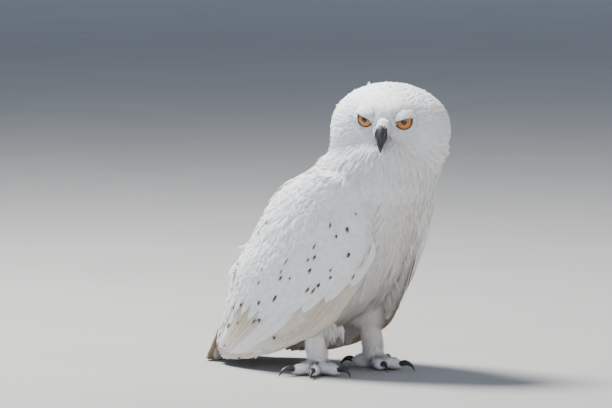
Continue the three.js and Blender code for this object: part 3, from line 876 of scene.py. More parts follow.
class Vanes:
    """Long feathers as closed thin slabs, each with its own tile of the piece's map."""

    def __init__(self, name, tiles, material, slot="flight_feathers"):
        self.name, self.tiles, self.material, self.slot = name, tiles, material, slot
        self.v, self.f, self.uv, self.warm, self.barb, self.shaft, self.count, self.made = [], [], [], [], [], [], 0, 0

    def add(self, place, length, width, tip=0.7, blunt=2.0, start=0.55, thick=0.3, S=16, C=8, ragged=0.03, notch=3, warm_mid=0.3,
            warm_edge=0.1, warm_tip=0.0, ridge=0.25, base_warm=None):
        """place(s, lateral, out) gives points; s runs along the shaft, lateral in mm from it, out in mm outward."""
        s = np.linspace(0, 1, S + 1) ** 0.92
        a = np.linspace(-1, 1, C + 1)
        half = start + (1 - start) * sstep(s / 0.25)
        t = ((s - tip) / (1 - tip)).clip(0, 1)
        half = half * (1 - t ** blunt).clip(0.0) ** (1 / blunt)
        half = np.maximum(half * width / 2, 0.5)
        sides = []
        for k in range(2):
            r = 1 + rng.normal(0, ragged, S + 1)
            for _ in range(rng.poisson(notch)):
                r[rng.integers(int(S * 0.45), S)] *= 0.8 + 0.1 * rng.random()
            sides.append(half * r)
        lat = np.where(a[None] < 0, sides[0][:, None], sides[1][:, None]) * a[None]
        S2 = np.broadcast_to(s[:, None], lat.shape)
        # barbs slant forward towards the edges
        slant = (np.abs(lat) * 0.75 / length) * (0.25 + 0.75 * sstep(S2 / 0.2))
        SS = (S2 * (1 - 0.0) + slant * (1 - S2)).clip(0, 1.02)
        mid = np.exp(-((lat / 0.9) ** 2)) * ridge
        ripple = rng.normal(0, 0.035, lat.shape)
        out = mid + ripple
        front, back = place(SS, lat, out), place(SS, lat, out - thick * (0.5 + 0.5 * (1 - np.abs(a[None]) ** 3)))
        v, f = slab(front, back)
        tri = v[f]
        vol = (tri[:, 0] * np.cross(tri[:, 1], tri[:, 2])).sum() + (tri[:, 0] * np.cross(tri[:, 2], tri[:, 3])).sum()
        centre = v.mean(0)
        tri = tri - centre
        vol = (tri[:, 0] * np.cross(tri[:, 1], tri[:, 2])).sum() + (tri[:, 0] * np.cross(tri[:, 2], tri[:, 3])).sum()
        if vol < 0:
            f = f[:, ::-1]
        self.v.append(v)
        self.f.append(f + self.count)
        self.count += len(v)
        col, row = self.made % self.tiles, self.made // self.tiles
        size = 1.0 / self.tiles
        A = np.broadcast_to(a[None], lat.shape)
        uf = np.stack([(A + 1) / 4, S2], -1).reshape(-1, 2)
        ub = uf + [0.5, 0]
        uv = np.concatenate([uf * [0.94, 0.94], ub * [0.94, 0.94]]) + 0.03
        self.uv.append((uv + [col, row]) * size)
        w = warm_mid * (1 - 0.75 * np.abs(A) ** 2) + warm_edge * np.abs(A) ** 2
        w = w * (1 - sstep((S2 - 0.75) / 0.25)) + warm_tip * sstep((S2 - 0.75) / 0.25)
        self.warm.append(np.concatenate([w.ravel(), w.ravel() + 0.15]))
        self.barb.append(np.concatenate([(SS * length - np.abs(lat) * 0.9 + self.made * 37.0).ravel()] * 2))
        self.shaft.append(np.concatenate([lat.ravel()] * 2))
        self.made += 1

    def build(self):
        v, f, uv = np.concatenate(self.v), np.concatenate(self.f), np.concatenate(self.uv)
        v[:, 2] = np.maximum(v[:, 2], 0.6)
        ob = mesh_of(self.name, v, f, [self.material])
        me = ob.data
        layer = me.uv_layers.new(name="OFBake")
        layer.data.foreach_set("uv", uv[f.ravel()].astype(np.float32).ravel())
        for key, val in (("warm", np.concatenate(self.warm).clip(0, 1)), ("barb", np.concatenate(self.barb)), ("shaft", np.concatenate(self.shaft)), ("shade", 0 * v[:, 0])):
            at = me.attributes.new(key, "FLOAT", "POINT")
            at.data.foreach_set("value", val.astype(np.float32))
        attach(ob, "root")
        print(self.name, "vanes", self.made, "of", self.tiles ** 2, "triangles", len(f) * 2)
        return ob


# ------------------------------------------------------------------ the skin itself
rim_face = np.zeros(len(quads), int)
rim_face[skin_quads:] = beyond[quads[skin_quads:]].max(1) < 0.05
skin = mesh_of("skin", sk, quads, [mat_skin, mat_rim], rim_face)
# painted shade: the skin seen in the gaps between the plumes is darkened by 0.12, and low on the trunk it is tinted
# warm like the plumes there, also painted shade
for key, val in (("warm", 0.15 * weight["trunk"] * sstep((200 - sk[:, 2]) / 120)), ("shade", 0.12 + 0 * sk[:, 0])):
    at = skin.data.attributes.new(key, "FLOAT", "POINT")
    at.data.foreach_set("value", val.astype(np.float32))
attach(skin, "root")
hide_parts(*FLESH, "wing_left", "wing_right")

# ------------------------------------------------------------------ where each kind of plume is rooted
f_beyond = np.full(len(quads), 99.0)
f_beyond[skin_quads:] = beyond[quads[skin_quads:]].min(1)
under_eye = np.zeros(len(quads), bool)
for s in ("left", "right"):
    far = np.linalg.norm(fc - eye_c[s], axis=1)
    ahead = (fc - eye_c[s]) @ (eye_place(s, np.array(0.0), np.array(0.0), np.array(1.0)) - eye_c[s])
    under_eye[:skin_quads] |= ((far < 17.4) & (ahead > 6))[:skin_quads]
in_bill = (np.abs(f_hp[:, 0]) < 8.5) & (f_hp[:, 2] > -13) & (f_hp[:, 2] < 17) & (f_hp[:, 1] < -44)
is_head = (fw["head"] > 0.5) & ~under_eye & (f_beyond > 0.3) & ~in_bill
is_face = is_head & (f_facew > 0.35)
is_crown = is_head & ~is_face
is_ruff = is_crown & (f_hp[:, 2] < -14) & (f_hp[:, 1] < 8)
is_crown = is_crown & ~is_ruff

face = Coat("coat_face", head_unwrap, mat_coat)
gap = np.minimum(*[np.linalg.norm(f_hp - [k * EYE_X, EYE_Y - 12, EYE_Z], axis=1) for k in (-1, 1)])
close = 1 - sstep((gap - 10) / 16)
size = 1.5 + 1.0 * (1 - f_facew) - 0.35 * close
p, i = sow(is_face, size)
g, c = f_facew[i], close[i]
ph = from_head(p)
along_line = ((ph[:, 0] - 10) * 0.83 - (ph[:, 2] + 6) * 0.55) / 34
off_line = (ph[:, 0] - 10) * 0.55 + (ph[:, 2] + 6) * 0.83
# painted shade: a tan line along the fold of the facial disc, from the corner of the gape out and down
painted_fold_shade = np.exp(-((off_line / 3.2) ** 2)) * sstep(along_line * 6 + 0.5) * (1 - sstep(along_line * 1.2 - 0.2))
face.plumes(p, (6.0 + 6 * (1 - g)) * (1 - 0.35 * c), (2.3 + 1.3 * (1 - g)) * (1 - 0.25 * c), 3, 2, split=0.35, h0=0.1, h1=1.05, jitter=0.25, rag=0.1, veer=0.15, puff=0.25, shade_root=0.14, warm=0.55 * painted_fold_shade)

# tiny plumes over the lids, from the rim outwards
for s, k in (("left", 1), ("right", -1)):
    n = 420
    turn = np.radians(rng.uniform(-165, 62, n))
    past = 2.1 + 5.2 * rng.random(n)
    away = np.array([float(opening(a, s)) for a in turn]) + past
    ang = away / 17.0
    p = eye_place(s, ang, turn, eyeball_radius(ang) + 1.1 + 0.06 * past)
    d = norm(eye_place(s, ang + 0.06, turn, eyeball_radius(ang) + 1.1) - eye_place(s, ang, turn, eyeball_radius(ang) + 1.1))
    out = norm(p - eye_c[s])
    L = 2.6 + 0.35 * past + 0.8 * rng.random(n)
    face.plumes(p, L, 1.3, 2, 2, split=0.35, h0=0.0, h1=0.7, jitter=0.12, rag=0.12, puff=0.3, shade_root=0.12,
                path=strand(p, norm(d + rng.normal(0, 0.10, (n, 3))), out, L, 2, bend=-out * 0.16, tall=0.9))

# brows: plumes that run from the bridge of the bill out over the eyes and overhang the upper lids
for s, k in (("left", 1), ("right", -1)):
    n = 420
    t = rng.random(n)
    height, slope = LID_LINE[s]
    x = -9.0 + 21.5 * t
    up = rng.random(n) ** 1.2
    rise = 1.75 + 10.0 * up
    z = height + slope * x + rise - 0.014 * x ** 2 * (x > 0)
    ang, turn = np.hypot(x, z) / 17.0, np.arctan2(z, x)
    p = eye_place(s, ang, turn, eyeball_radius(ang) + 1.5 + 0.12 * rise)
    p, idx = nearest(p)
    out = norm(0.5 * fn[idx] + 0.5 * norm(p - eye_c[s]))
    p = p + fn[idx] * (1.0 - 0.55 * up)[:, None]
    d = np.stack([k * (1 - 0.25 * up), -0.12 + 0.25 * t, slope + 0.02 + 0.55 * up ** 1.5], -1) @ HT[:3, :3].T
    d = norm(norm(d) - 0.92 * (norm(d) * out).sum(1, keepdims=True) * out + rng.normal(0, 0.06, (n, 3)))
    L = (5.5 + 2.5 * rng.random(n) + 2.0 * up) * (0.7 + 0.3 * sstep(t / 0.3))
    # painted shade: the roots of the brow plumes are darker (shade_root 0.22), for the shade under the brows
    face.plumes(p, L, 1.35, 3, 3, split=0.35, h0=0.0, h1=0.9, jitter=0.22, rag=0.16, narrow=0.6, puff=0.35, shade_root=0.22,
                path=strand(p, d, out, L, 3, bend=-out * 0.2, tall=1.0))

# plumes that run from the root of the bill up over the forehead
n = 110
a = np.radians(rng.uniform(-100, 100, n))
t = rng.uniform(0.0, 0.07, n)
root = catmull([[0, ry, rz], [0, mixy(0.62), mixz(0.24)], [0, mixy(0.98), mixz(0.6)], [0, ty + 2.5, tz]], t).reshape(n, 3)
away = np.stack([np.sin(a), -0.25 + 0 * a, np.cos(a)], 1)
p = to_head(root + away * (9.4 + 0.9 * rng.random(n))[:, None])
d = norm(np.stack([np.sin(a) * 0.8, 0.10 + 0.1 * rng.random(n), np.cos(a) + 0.1], 1)) @ HT[:3, :3].T
out = norm(np.stack([0.3 * np.sin(a), -1 + 0 * a, 0.25 * np.cos(a)], 1)) @ HT[:3, :3].T
L = 4.5 + 3.0 * rng.random(n)
face.plumes(p, L, 1.8, 3, 3, split=0.3, h0=0.0, h1=0.6, jitter=0.3, rag=0.14, puff=0.25, shade_root=0.08, path=strand(p, norm(d + rng.normal(0, 0.08, (n, 3))), out, L, 3, bend=-out * 0.12, tall=1.0))

# bristles that lie forward over the root of the bill and stand beside it
BILL_LINE = [[0, ry, rz], [0, mixy(0.62), mixz(0.24)], [0, mixy(0.98), mixz(0.6)], [0, ty + 2.5, tz]]
BILL_RADII = [9.5, 8.6, 5.6, 1.0]


def bristles(n, around, start, end, off, W):
    """Strands along the bill: around in degrees from its ridge, start and end along it, off in mm from its surface at root and tip."""
    S = 5
    s = np.linspace(0, 1, S + 1)[:, None]
    t = (start + (end - start) * s).clip(0, 1)
    mid = catmull(BILL_LINE, t.ravel()).reshape(S + 1, n, 3)
    ahead = norm(catmull(BILL_LINE, (t + 0.02).clip(0, 1).ravel()) - catmull(BILL_LINE, (t - 0.02).clip(0, 1).ravel())).reshape(S + 1, n, 3)
    r = along([[q] for q in BILL_RADII])(t)[..., 0] * (1 - np.abs(2 * t.clip(0.03, 0.97) - 1) ** 4) ** 0.25
    r = np.maximum(r, 5.0 * (t < 0.2)) + off[0] + (off[1] - off[0]) * s
    a = np.radians(around)[None] * (1 - 0.12 * s)
    ridge = np.cross(ahead, [1.0, 0, 0])
    ridge = ridge * np.sign(ridge[..., 2:3])
    out = ridge * np.cos(a)[..., None] + np.array([1.0, 0, 0]) * np.sin(a)[..., None]
    C = mid + out * r[..., None]
    T = norm(np.gradient(C, axis=0))
    N = norm(out - (out * T).sum(-1, keepdims=True) * T)
    R = HT[:3, :3].T
    C, T, N = to_head(C), T @ R, N @ R
    length = np.linalg.norm(np.diff(C, axis=0), axis=-1).sum(0)
    face.plumes(C[0], length, W, 2, S, split=0.3, h0=0.0, h1=0.3, jitter=0.12, rag=0.12, narrow=0.75, puff=0.2, shade_root=0.05, point=0.1,
                path=(C, N, T, np.ones((S + 1, n))))


n = 230
ar = rng.uniform(-118, 118, n)
wide = np.abs(ar) / 90
bristles(n, ar, 0.10 * rng.random(n), 0.20 + 0.12 * rng.random(n) + 0.17 * wide ** 2.0, (np.where(np.abs(ar) < 75, 0.2, -0.6), 0.4 + 0.5 * rng.random(n)), 1.8)
n = 120
ar = rng.uniform(-88, 88, n)
bristles(n, ar, 0.015 * rng.random(n), 0.12 + 0.12 * rng.random(n), (1.6 + 1.6 * rng.random(n), 0.7 + 0.4 * rng.random(n)), 1.8)
n = 190
ar = rng.choice([-1, 1], n) * rng.uniform(68, 140, n)
bristles(n, ar, 0.02 + 0.14 * rng.random(n), 0.36 + 0.24 * rng.random(n) * np.abs(ar) / 120, (0.2 + 2.6 * rng.random(n), 0.8 + 2.0 * rng.random(n)), 1.5)
# the chin: short plumes that hang below the bill's root
n = 80
seed = to_head(np.stack([rng.uniform(-10, 10, n), np.full(n, -75.0), rng.uniform(-24, -8, n)], 1))
p, idx = nearest(seed)
L = 10 + 4 * rng.random(n)
face.plumes(p, L, 2.4, 3, 4, split=0.3, h0=0.0, h1=0.8, jitter=0.3, rag=0.16, puff=0.25, shade_root=0.1,
            path=strand(p + fn[idx] * 1.5, norm(ff[idx] + 0.35 * fn[idx] + rng.normal(0, 0.08, (n, 3))), fn[idx], L, 4, bend=-fn[idx] * 0.22, tall=1.5))


gape = np.stack([rng.normal(12.5, 1.8, 22), np.full(22, -70.0), rng.normal(-6.0, 1.8, 22)], 1)
q, idx = nearest(to_head(gape))
gape_root, gape_lie, gape_out = q + fn[idx] * 2.0, ff[idx], fn[idx]

head = Coat("coat_head", head_unwrap, mat_coat)
p, i = sow(is_crown, 2.6)
low = sstep((300 - p[:, 2]) / 30)
head.plumes(p, 11.0 + 9 * low + rng.random(len(p)) * 2, 4.4 + 2.4 * low, 4, 3, split=0.45, h0=0.3, h1=0.92, power=0.55, jitter=0.28, rag=0.12, veer=0.13, puff=0.3, point=0.35, shade_root=0.05)
p, i = sow(is_ruff, 3.0)
low = sstep((-14 - from_head(p)[:, 2]) / 26)
head.plumes(p, 14 + 7 * low + rng.random(len(p)) * 4, 5.2, 4, 4, split=0.4, h0=0.15, h1=1.1 + 0.2 * low, jitter=0.45, rag=0.14, veer=0.12, puff=0.3)
# the lower edge of the ruff stands out over the neck
p, i = sow(is_head & (f_hp[:, 2] < -17) & (f_hp[:, 2] > -52) & (f_hp[:, 1] < 20), 4.3 + 3.5 * sstep((f_hp[:, 2] + 30) / 13))
L = 15 + 8 * rng.random(len(p))
head.plumes(p, L, 4.6, 4, 4, split=0.3, h0=0.0, h1=0.9, jitter=0.6, rag=0.2, puff=0.3, warm=0.06,
            path=strand(p + fn[i] * 2.2, norm(ff[i] + 0.30 * fn[i] + rng.normal(0, 0.08, (len(p), 3))), fn[i], L, 4, bend=-fn[i] * 0.20, tall=2.2))
# loose wisps on the cheeks, the sides and the back of the head
p, i = sow(is_head & (f_facew < 0.3) & (f_hp[:, 2] > -40), 17.0)
L = 8 + 5 * rng.random(len(p))
head.plumes(p, L, 2.6, 3, 3, split=0.2, h0=0.0, h1=0.6, jitter=0.5, rag=0.25, puff=0.3,
            path=strand(p + fn[i] * 3.6, norm(ff[i] + 0.07 * fn[i] + rng.normal(0, 0.12, (len(p), 3))), fn[i], L, 3, bend=-fn[i] * 0.02, tall=1.5))

body = Coat("coat_body", cylinder_unwrap(40, 330), mat_coat)
behind = sstep((fc[:, 1] - trunk_at(np.clip(fc[:, 2], 48, 320))[:, 1] + 10) / 40)
p, i = sow(fw["neck"] > 0.5, 3.8)
body.plumes(p, 20.0 + rng.random(len(p)) * 5, 10.0, 7, 4, split=0.6, h0=0.3, h1=0.95, power=0.6, jitter=0.28, rag=0.10, veer=0.10, puff=0.3, point=0.3)
is_back = (fw["trunk"] > 0.5) & (behind > 0.5)
p, i = sow(is_back, 5.0)
body.plumes(p, 26.0 + rng.random(len(p)) * 5, 15.0, 7, 4, split=0.74, h0=0.25, h1=0.95, power=0.65, jitter=0.14, rag=0.05, veer=0.07, point=0.4, round_=0.4, shade_root=0.08)
p, i = sow((fw["trunk"] > 0.5) & ~is_back, 4.1)
lowb = sstep((170 - p[:, 2]) / 90)
# painted shade and painted warm light: the plumes are tinted warmer low on the belly, where the shade falls, and on the
# owl's left side, which the warm lamp lights
body.plumes(p, 23.0 + 11 * lowb + rng.random(len(p)) * 5, 11.0, 8, 4, split=0.5, h0=0.1, h1=0.95, jitter=0.28, rag=0.11, veer=0.09, warm=0.18 + 0.46 * lowb + 0.12 * sstep(p[:, 0] / 60), puff=0.3, point=0.25)

# flanks: long soft plumes that sweep back over the lower edge of each wing and over the thigh
side_deg = np.degrees(np.arctan2(np.abs(fc[:, 0]), -(fc[:, 1] - trunk_at(np.clip(fc[:, 2], 48, 320))[:, 1])))
edge_deg = np.interp(fc[:, 2], [6, 16, 40, 70, 101, 135, 165, 198, 226], [108, 82, 60, 42, 32, 25, 22, 28, 39])
is_flank = ((fw["trunk"] > 0.4) | (fw["thigh"] > 0.5)) & (side_deg > edge_deg - 26) & (side_deg < edge_deg + 4) & (fc[:, 2] < 178) & (fc[:, 2] > 62)


def flank_lie(loc, idx):
    return np.tile(norm(np.array([0, 0.80, -0.62])), (len(loc), 1))


p, i = sow(is_flank, 4.6)
L = 34.0 + rng.random(len(p)) * 16
C, NN, T, D = march(p, L, 6, rng.normal(0, 0.10, len(p)), flank_lie)
over = norm(NN)
D = np.maximum(D, 5.2)
body.plumes(p, L, 9.5, 7, 6, split=0.3, h0=0.55, h1=1.02, jitter=0.35, rag=0.12, warm=0.22, puff=0.25, path=(C, over, T, D))
p, i = sow(is_flank & (fc[:, 2] > 84) & (fc[:, 2] < 160) & (side_deg > edge_deg - 16), 5.5)
L = 26.0 + rng.random(len(p)) * 12
C, NN, T, D = march(p, L, 5, rng.normal(0, 0.12, len(p)), lambda loc, idx: np.tile(norm(np.array([0, 0.5, -0.86])), (len(loc), 1)))
body.plumes(p, L, 10.0, 7, 5, split=0.35, h0=0.3, h1=1.0, jitter=0.5, rag=0.14, warm=0.25, puff=0.3, path=(C, NN, T, np.maximum(D, 9.0 + 3 * rng.random(len(p)))))
# plumes from the belly that reach the front edge of each wing and close the hollow behind it
for k in (-1, 1):
    n = 360
    u, w = rng.uniform(0.30, 0.80, n), rng.uniform(0.035, 0.15, n)
    end = wing_point(u, w, wing_thick(u) + 2.5, k)
    p, idx = nearest(end + np.stack([-k * rng.uniform(8, 24, n), rng.uniform(-16, -4, n), rng.uniform(28, 46, n)], 1))
    reach = np.linalg.norm(end - p, axis=1)
    ok = (fw["trunk"][idx] + fw["thigh"][idx] > 0.5) & (reach > 22) & (reach < 64)
    p, end, reach, idx = p[ok], end[ok], reach[ok], idx[ok]
    facing = norm(np.tile([-0.3 * k, -0.9, 0.15], (len(p), 1)) + 0.35 * fn[idx] + rng.normal(0, 0.12, (len(p), 3)))
    body.plumes(p, reach, 6.5, 4, 5, split=0.3, h0=0.0, h1=0.5, jitter=0.5, rag=0.18, warm=0.16, shade=0.03, shade_root=0.03, puff=0.3, point=0.15,
                path=strand(p + fn[idx] * 4.5, norm(end - p + facing * 5.0), facing, reach, 5, bend=-facing * 0.05, tall=1.5))
# the rump, over the seam of wings and tail
low_back = (fw["trunk"] + fw["tail"] > 0.5) & (fc[:, 1] > 95) & (fc[:, 2] > 92) & (fc[:, 2] < 165) & (fn[:, 1] > 0.1)
p, i = sow(low_back, 6.0)
L = 34.0 + rng.random(len(p)) * 12
C, NN, T, D = march(p, L, 5, rng.normal(0, 0.10, len(p)))
body.plumes(p, L, 14.0, 7, 5, split=0.6, h0=0.4, h1=1.0, jitter=0.4, rag=0.10, warm=0.03, puff=0.35, path=(C, NN, T, np.maximum(D, 9.0)))
# long plumes of the shoulder, over the back edge of each wing
for k in (-1, 1):
    n = 150
    u, w = rng.uniform(0.16, 0.74, n), rng.uniform(0.92, 1.0, n)
    root = wing_point(u, w, -0.6, k) - np.stack([k * rng.uniform(0, 7, n), 0 * u, 0 * u], 1)
    T = norm(wing_point(u + 0.06, w, -0.6, k) - wing_point(u, w, -0.6, k))
    N = norm(np.cross(T, wing_point(u, w, 0.0, k) - wing_point(u, w - 0.04, 0.0, k)))
    N = np.where((N @ np.array([k * 1.0, 0.4, 0]))[:, None] < 0, -N, N)
    N = norm(N + np.array([-0.25 * k, 0.45, 0]))
    L = 25 + 12 * rng.random(n)
    C, NN, T, D = march(nearest(root)[0], L, 6, rng.normal(0, 0.06, n))
    keep = ((NN @ np.array([0.5 * k, 1.0, 0.2])) > 0.1).all(0)
    body.plumes(root[keep], L[keep], 11.0, 6, 6, split=0.6, h0=0.5, h1=1.12, jitter=0.3, rag=0.10, puff=0.35, point=0.35, shade_root=0.04,
                path=(C[:, keep], NN[:, keep], T[:, keep], np.maximum(D[:, keep], 4.6)))
# and over the gap between wing and tail
for k in (-1, 1):
    n = 110
    u, w = rng.uniform(0.52, 0.88, n), rng.uniform(0.95, 1.0, n)
    root = wing_point(u, w, 1.5, k) - np.stack([k * rng.uniform(3, 17, n), rng.uniform(0, 4, n), 0 * u], 1)
    T = norm(wing_point(u + 0.06, w, 1.5, k) - wing_point(u, w, 1.5, k) + np.array([k * 1.5, 0, 0]))
    N = norm(np.tile([0.25 * k, 1.0, 0.2], (n, 1)) + rng.normal(0, 0.08, (n, 3)))
    L = 24 + 10 * rng.random(n)
    body.plumes(root, L, 9.0, 5, 5, split=0.5, h0=0.0, h1=0.5, jitter=0.4, rag=0.12, puff=0.35, point=0.3, shade_root=0.03, warm=0.10,
                path=strand(root - N * 1.5, norm(T - 0.04 * N), N, L, 5, bend=-N * 0.10, tall=1.2))
# loose wisps low on the back
p, i = sow(((fw["wing"] > 0.5) & (f_w > 0.86) | is_back) & (fc[:, 2] > 120) & (fc[:, 2] < 172), 16.0)
body.plumes(p, 17.0 + rng.random(len(p)) * 8, 5.0, 4, 4, split=0.2, h0=0.4, h1=1.6, lift=0.28 * rng.random(len(p)), jitter=0.6, rag=0.25, veer=0.3, puff=0.3)

legs = Coat("coat_legs", foot_unwrap, mat_coat)
p, i = sow(fw["thigh"] > 0.5, 3.4)
L = 20.0 + rng.random(len(p)) * 6
veer = rng.normal(0, 0.12, len(p))
C, NN, T, D = march(p, L, 4, veer)
ends = nearest(C[-1])[1]
astray = ((fw["wing"][ends] > 0.4) & (f_face[ends] > -0.4)) | (((NN * NN[0]).sum(-1) < 0.0).any(0))
L = np.where(astray, 8.0, L)
C, NN, T, D = march(p, L, 4, veer)
ends = nearest(C[-1])[1]
keep = ~((fw["wing"][ends] > 0.4) & (f_face[ends] > -0.4))
# painted shade: the thigh plumes are tinted warm tan (0.42), and the tarsus plumes grow warmer upwards, for the warm
# shade under the belly
legs.plumes(p[keep], L[keep], 7.5, 5, 4, split=0.3, h0=0.1, h1=1.1, jitter=0.5, rag=0.14, warm=0.42, path=(C[:, keep], NN[:, keep], T[:, keep], D[:, keep]))
p, i = sow(fw["tarsus"] > 0.5, 2.2)
legs.plumes(p, 11.0 + rng.random(len(p)) * 5, 4.2, 4, 4, split=0.25, h0=0.15, h1=1.5, lift=0.04 + 0.14 * rng.random(len(p)) ** 2, jitter=0.5, rag=0.2, warm=0.14 + 0.25 * sstep((p[:, 2] - 30) / 30), veer=0.18)
p, i = sow(fw["toe"] > 0.5, 1.9)
legs.plumes(p, 8.0 + rng.random(len(p)) * 5, 2.8, 3, 3, split=0.25, h0=0.2, h1=1.25, shade=0.06 * rng.random(len(p)), lift=0.07 * rng.random(len(p)) ** 2, jitter=0.35, rag=0.18, warm=0.16, veer=0.24, shade_root=0.04)
# reddish stains on the feathering of both feet
stain = Coat("coat_stains", foot_unwrap, mat_stain)
spot = np.stack([rng.normal(36, 6, 40), rng.normal(-5, 9, 40), rng.uniform(26, 46, 40)], 1)
spot = np.concatenate([spot, np.stack([rng.normal(50, 9, 26), rng.normal(-14, 9, 26), rng.uniform(10, 30, 26)], 1), np.stack([rng.normal(-52, 12, 9), rng.normal(-10, 9, 9), rng.uniform(14, 30, 9)], 1)])
q, idx = nearest(spot)
L = 7.5 + 4 * rng.random(len(q))
stain.plumes(q, L, 1.7, 2, 3, split=0.3, h0=0.2, h1=1.65, jitter=0.3, rag=0.2, veer=0.2, warm=0.3 + rng.random(len(q)) * 0.7)
# fluff that hangs between the legs
n = 90
p = np.stack([rng.normal(-17, 6.5, n), rng.normal(14, 6.5, n), rng.uniform(54, 64, n)], 1)
d = np.stack([rng.normal(-0.04, 0.30, n), 0.02 + rng.normal(0, 0.2, n), -1 + 0 * p[:, 0]], 1)
L = 7 + rng.random(n) * 15
body.plumes(p, L, 3.0, 3, 4, split=0.2, h0=0.0, h1=0.6, jitter=0.8, rag=0.2, narrow=0.6, point=0.08, puff=0.35, shade_root=0.03, path=strand(p, d, norm(np.stack([rng.normal(-0.3, 0.4, n), -1 + 0 * p[:, 0], 0 * p[:, 0]], 1)), L, 4, bend=np.array([0.04, -0.04, 0]), tall=2.0))


# ------------------------------------------------------------------ wings
def covert_line(w):
    """How far down the wing the white coverts reach, by the place across it."""
    return np.interp(w, [0, 0.05, 0.13, 0.25, 0.32, 0.6, 0.8, 1.0], [0.54, 0.58, 0.65, 0.71, 0.75, 0.71, 0.68, 0.64])


def wing_vane(vanes, side, u0, w0, u1, w1, width, base, tilt=0.4, root_down=1.4, inside=0.5, **more):
    length = float(np.linalg.norm(wing_point(np.array(u1), np.array(w1), 2.0, side) - wing_point(np.array(u0), np.array(w0), 2.0, side)))

    def place(s, lat, out):
        u, w = u0 + (u1 - u0) * s, w0 + (w1 - w0) * s
        per = np.linalg.norm(wing_point(u, w + 0.02, 2.0, side) - wing_point(u, w - 0.02, 2.0, side), axis=-1) / 0.04
        lean = lat / (width / 2)
        room = inside * width / per
        w = np.minimum(np.maximum(w, room - 0.03), 1.0 - room)
        inward = base + root_down * (1 - sstep(s / 0.6)) + tilt * lean + 0.5 * lean ** 2 - out
        return wing_point(u, w + lat / per, inward, side)

    vanes.add(place, length, width, **more)


coats = [face, head, body, legs, stain]
plates = []
for side, tag in ((-1, "right"), (1, "left")):
    here = (fw["wing"] > 0.5) & (np.sign(fc[:, 0]) == side)
    line = covert_line(f_w)
    out = Coat(f"coat_wing_{tag}", wing_unwrap(side), mat_coat)
    outer_face = here & (f_face > -0.2)
    small = outer_face & (f_u < 0.22 + 0.1 * f_w)
    p, i = sow(small, 4.2)
    out.plumes(p, 17 + rng.random(len(p)) * 4, 10.5, 7, 4, split=0.6, h0=0.12, h1=1.0, jitter=0.16, rag=0.06, veer=0.06, round_=0.35, puff=0.45, cup=0.3)
    p, i = sow(outer_face & ~small & (f_u < line - 0.13), 5.6)
    u = f_u[i]
    out.plumes(p, 25 + 8 * sstep((u - 0.2) * 2.5) + rng.random(len(p)) * 4, 14.5, 9, 5, split=0.74, h0=0.12, h1=1.0, jitter=0.12, rag=0.035, veer=0.045, round_=0.42, puff=0.5, cup=0.3)
    under = Coat(f"coat_underwing_{tag}", wing_unwrap(side), mat_coat)
    p, i = sow(here & (f_face <= -0.2) & (f_u < 0.9), 6.6)
    L = 30.0 - 14 * sstep((f_u[i] - 0.6) / 0.25) - 6 * (f_w[i] < 0.12)
    C, NN, T, D = march(p, L, 4, rng.normal(0, 0.05, len(p)))
    keep = ((NN * NN[0]).sum(-1) > 0.35).all(0)
    under.plumes(p[keep], L[keep], 12.0, 6, 4, split=0.6, h0=0.1, h1=0.9, jitter=0.15, rag=0.06, warm=0.30, shade_root=0.03,
                 path=(C[:, keep], NN[:, keep], T[:, keep], D[:, keep]))
    coats += [out, under]

    vanes = Vanes(f"flight_feathers_{tag}", 9, mat_vane)
    jit = lambda a: float(rng.normal(0, a))
    # primaries, the lowest layer, from the lower edge round to the back
    tips = [(0.84, -0.03), (0.89, 0.0), (0.93, 0.05), (0.965, 0.13), (0.985, 0.23), (0.995, 0.34), (1.0, 0.46), (0.99, 0.58), (0.97, 0.70), (0.94, 0.82)]
    for j, (u1, w1) in enumerate(tips):
        # painted shade and painted shine-through light: the primaries, and below them the secondaries that are not
        # white, are tinted warm tan, most through the middle of each vane where the next feather covers it
        warm = 0.55 + 0.25 * rng.random()
        wing_vane(vanes, side, 0.46, 0.05 + 0.05 * j, u1 + jit(0.006), w1, 21 + jit(0.6), 2.5, inside=0.3, warm_mid=warm + 0.1, warm_edge=0.55, warm_tip=0.5, tip=0.82, blunt=1.8, S=20)
    # secondaries
    for j in range(13):
        f = j / 12
        u1 = 0.80 + 0.13 * math.sin(math.pi * min(1, 0.15 + f * 0.62)) + jit(0.006)
        w1 = 0.005 + 0.90 * f
        white = j in (3, 4, 8, 11)
        wing_vane(vanes, side, 0.42, 0.03 + 0.87 * f, u1, w1, 23 + jit(0.8), 1.9, warm_mid=0.12 if white else 0.62 + 0.25 * rng.random(), warm_edge=0.0 if white else 0.32,
                  warm_tip=0.0 if white else 0.3, tip=0.8, blunt=2.0, S=18)
    # tertials lie over the inner secondaries
    for j in range(5):
        wing_vane(vanes, side, 0.38, 0.66 + 0.07 * j, 0.80 + 0.02 * (j % 2) + jit(0.01), 0.66 + 0.075 * j, 25 + jit(1), 1.4, warm_mid=0.1, warm_edge=0.02, tip=0.72, S=16)
    # greater, then median coverts, laid from the lower edge to the back
    for row, (count, back_by, length, width, base) in enumerate(((15, 0.0, 0.24, 23, 0.95), (16, 0.075, 0.20, 20, 0.45))):
        for j in range(count):
            w = 0.035 + (j + 0.5 * row) / (count - 1) * 0.94
            u1 = float(covert_line(w)) - back_by + jit(0.008)
            wing_vane(vanes, side, u1 - length * (0.8 if j == 0 else 1), w, u1, w - 0.015, width * (0.7 if j == 0 else 1) + jit(1), base, tilt=0.35, root_down=2.2, warm_mid=0.06, warm_edge=0.0, tip=0.62, blunt=1.7,
                      S=11, notch=1, ridge=0.15)
    plates.append(vanes)

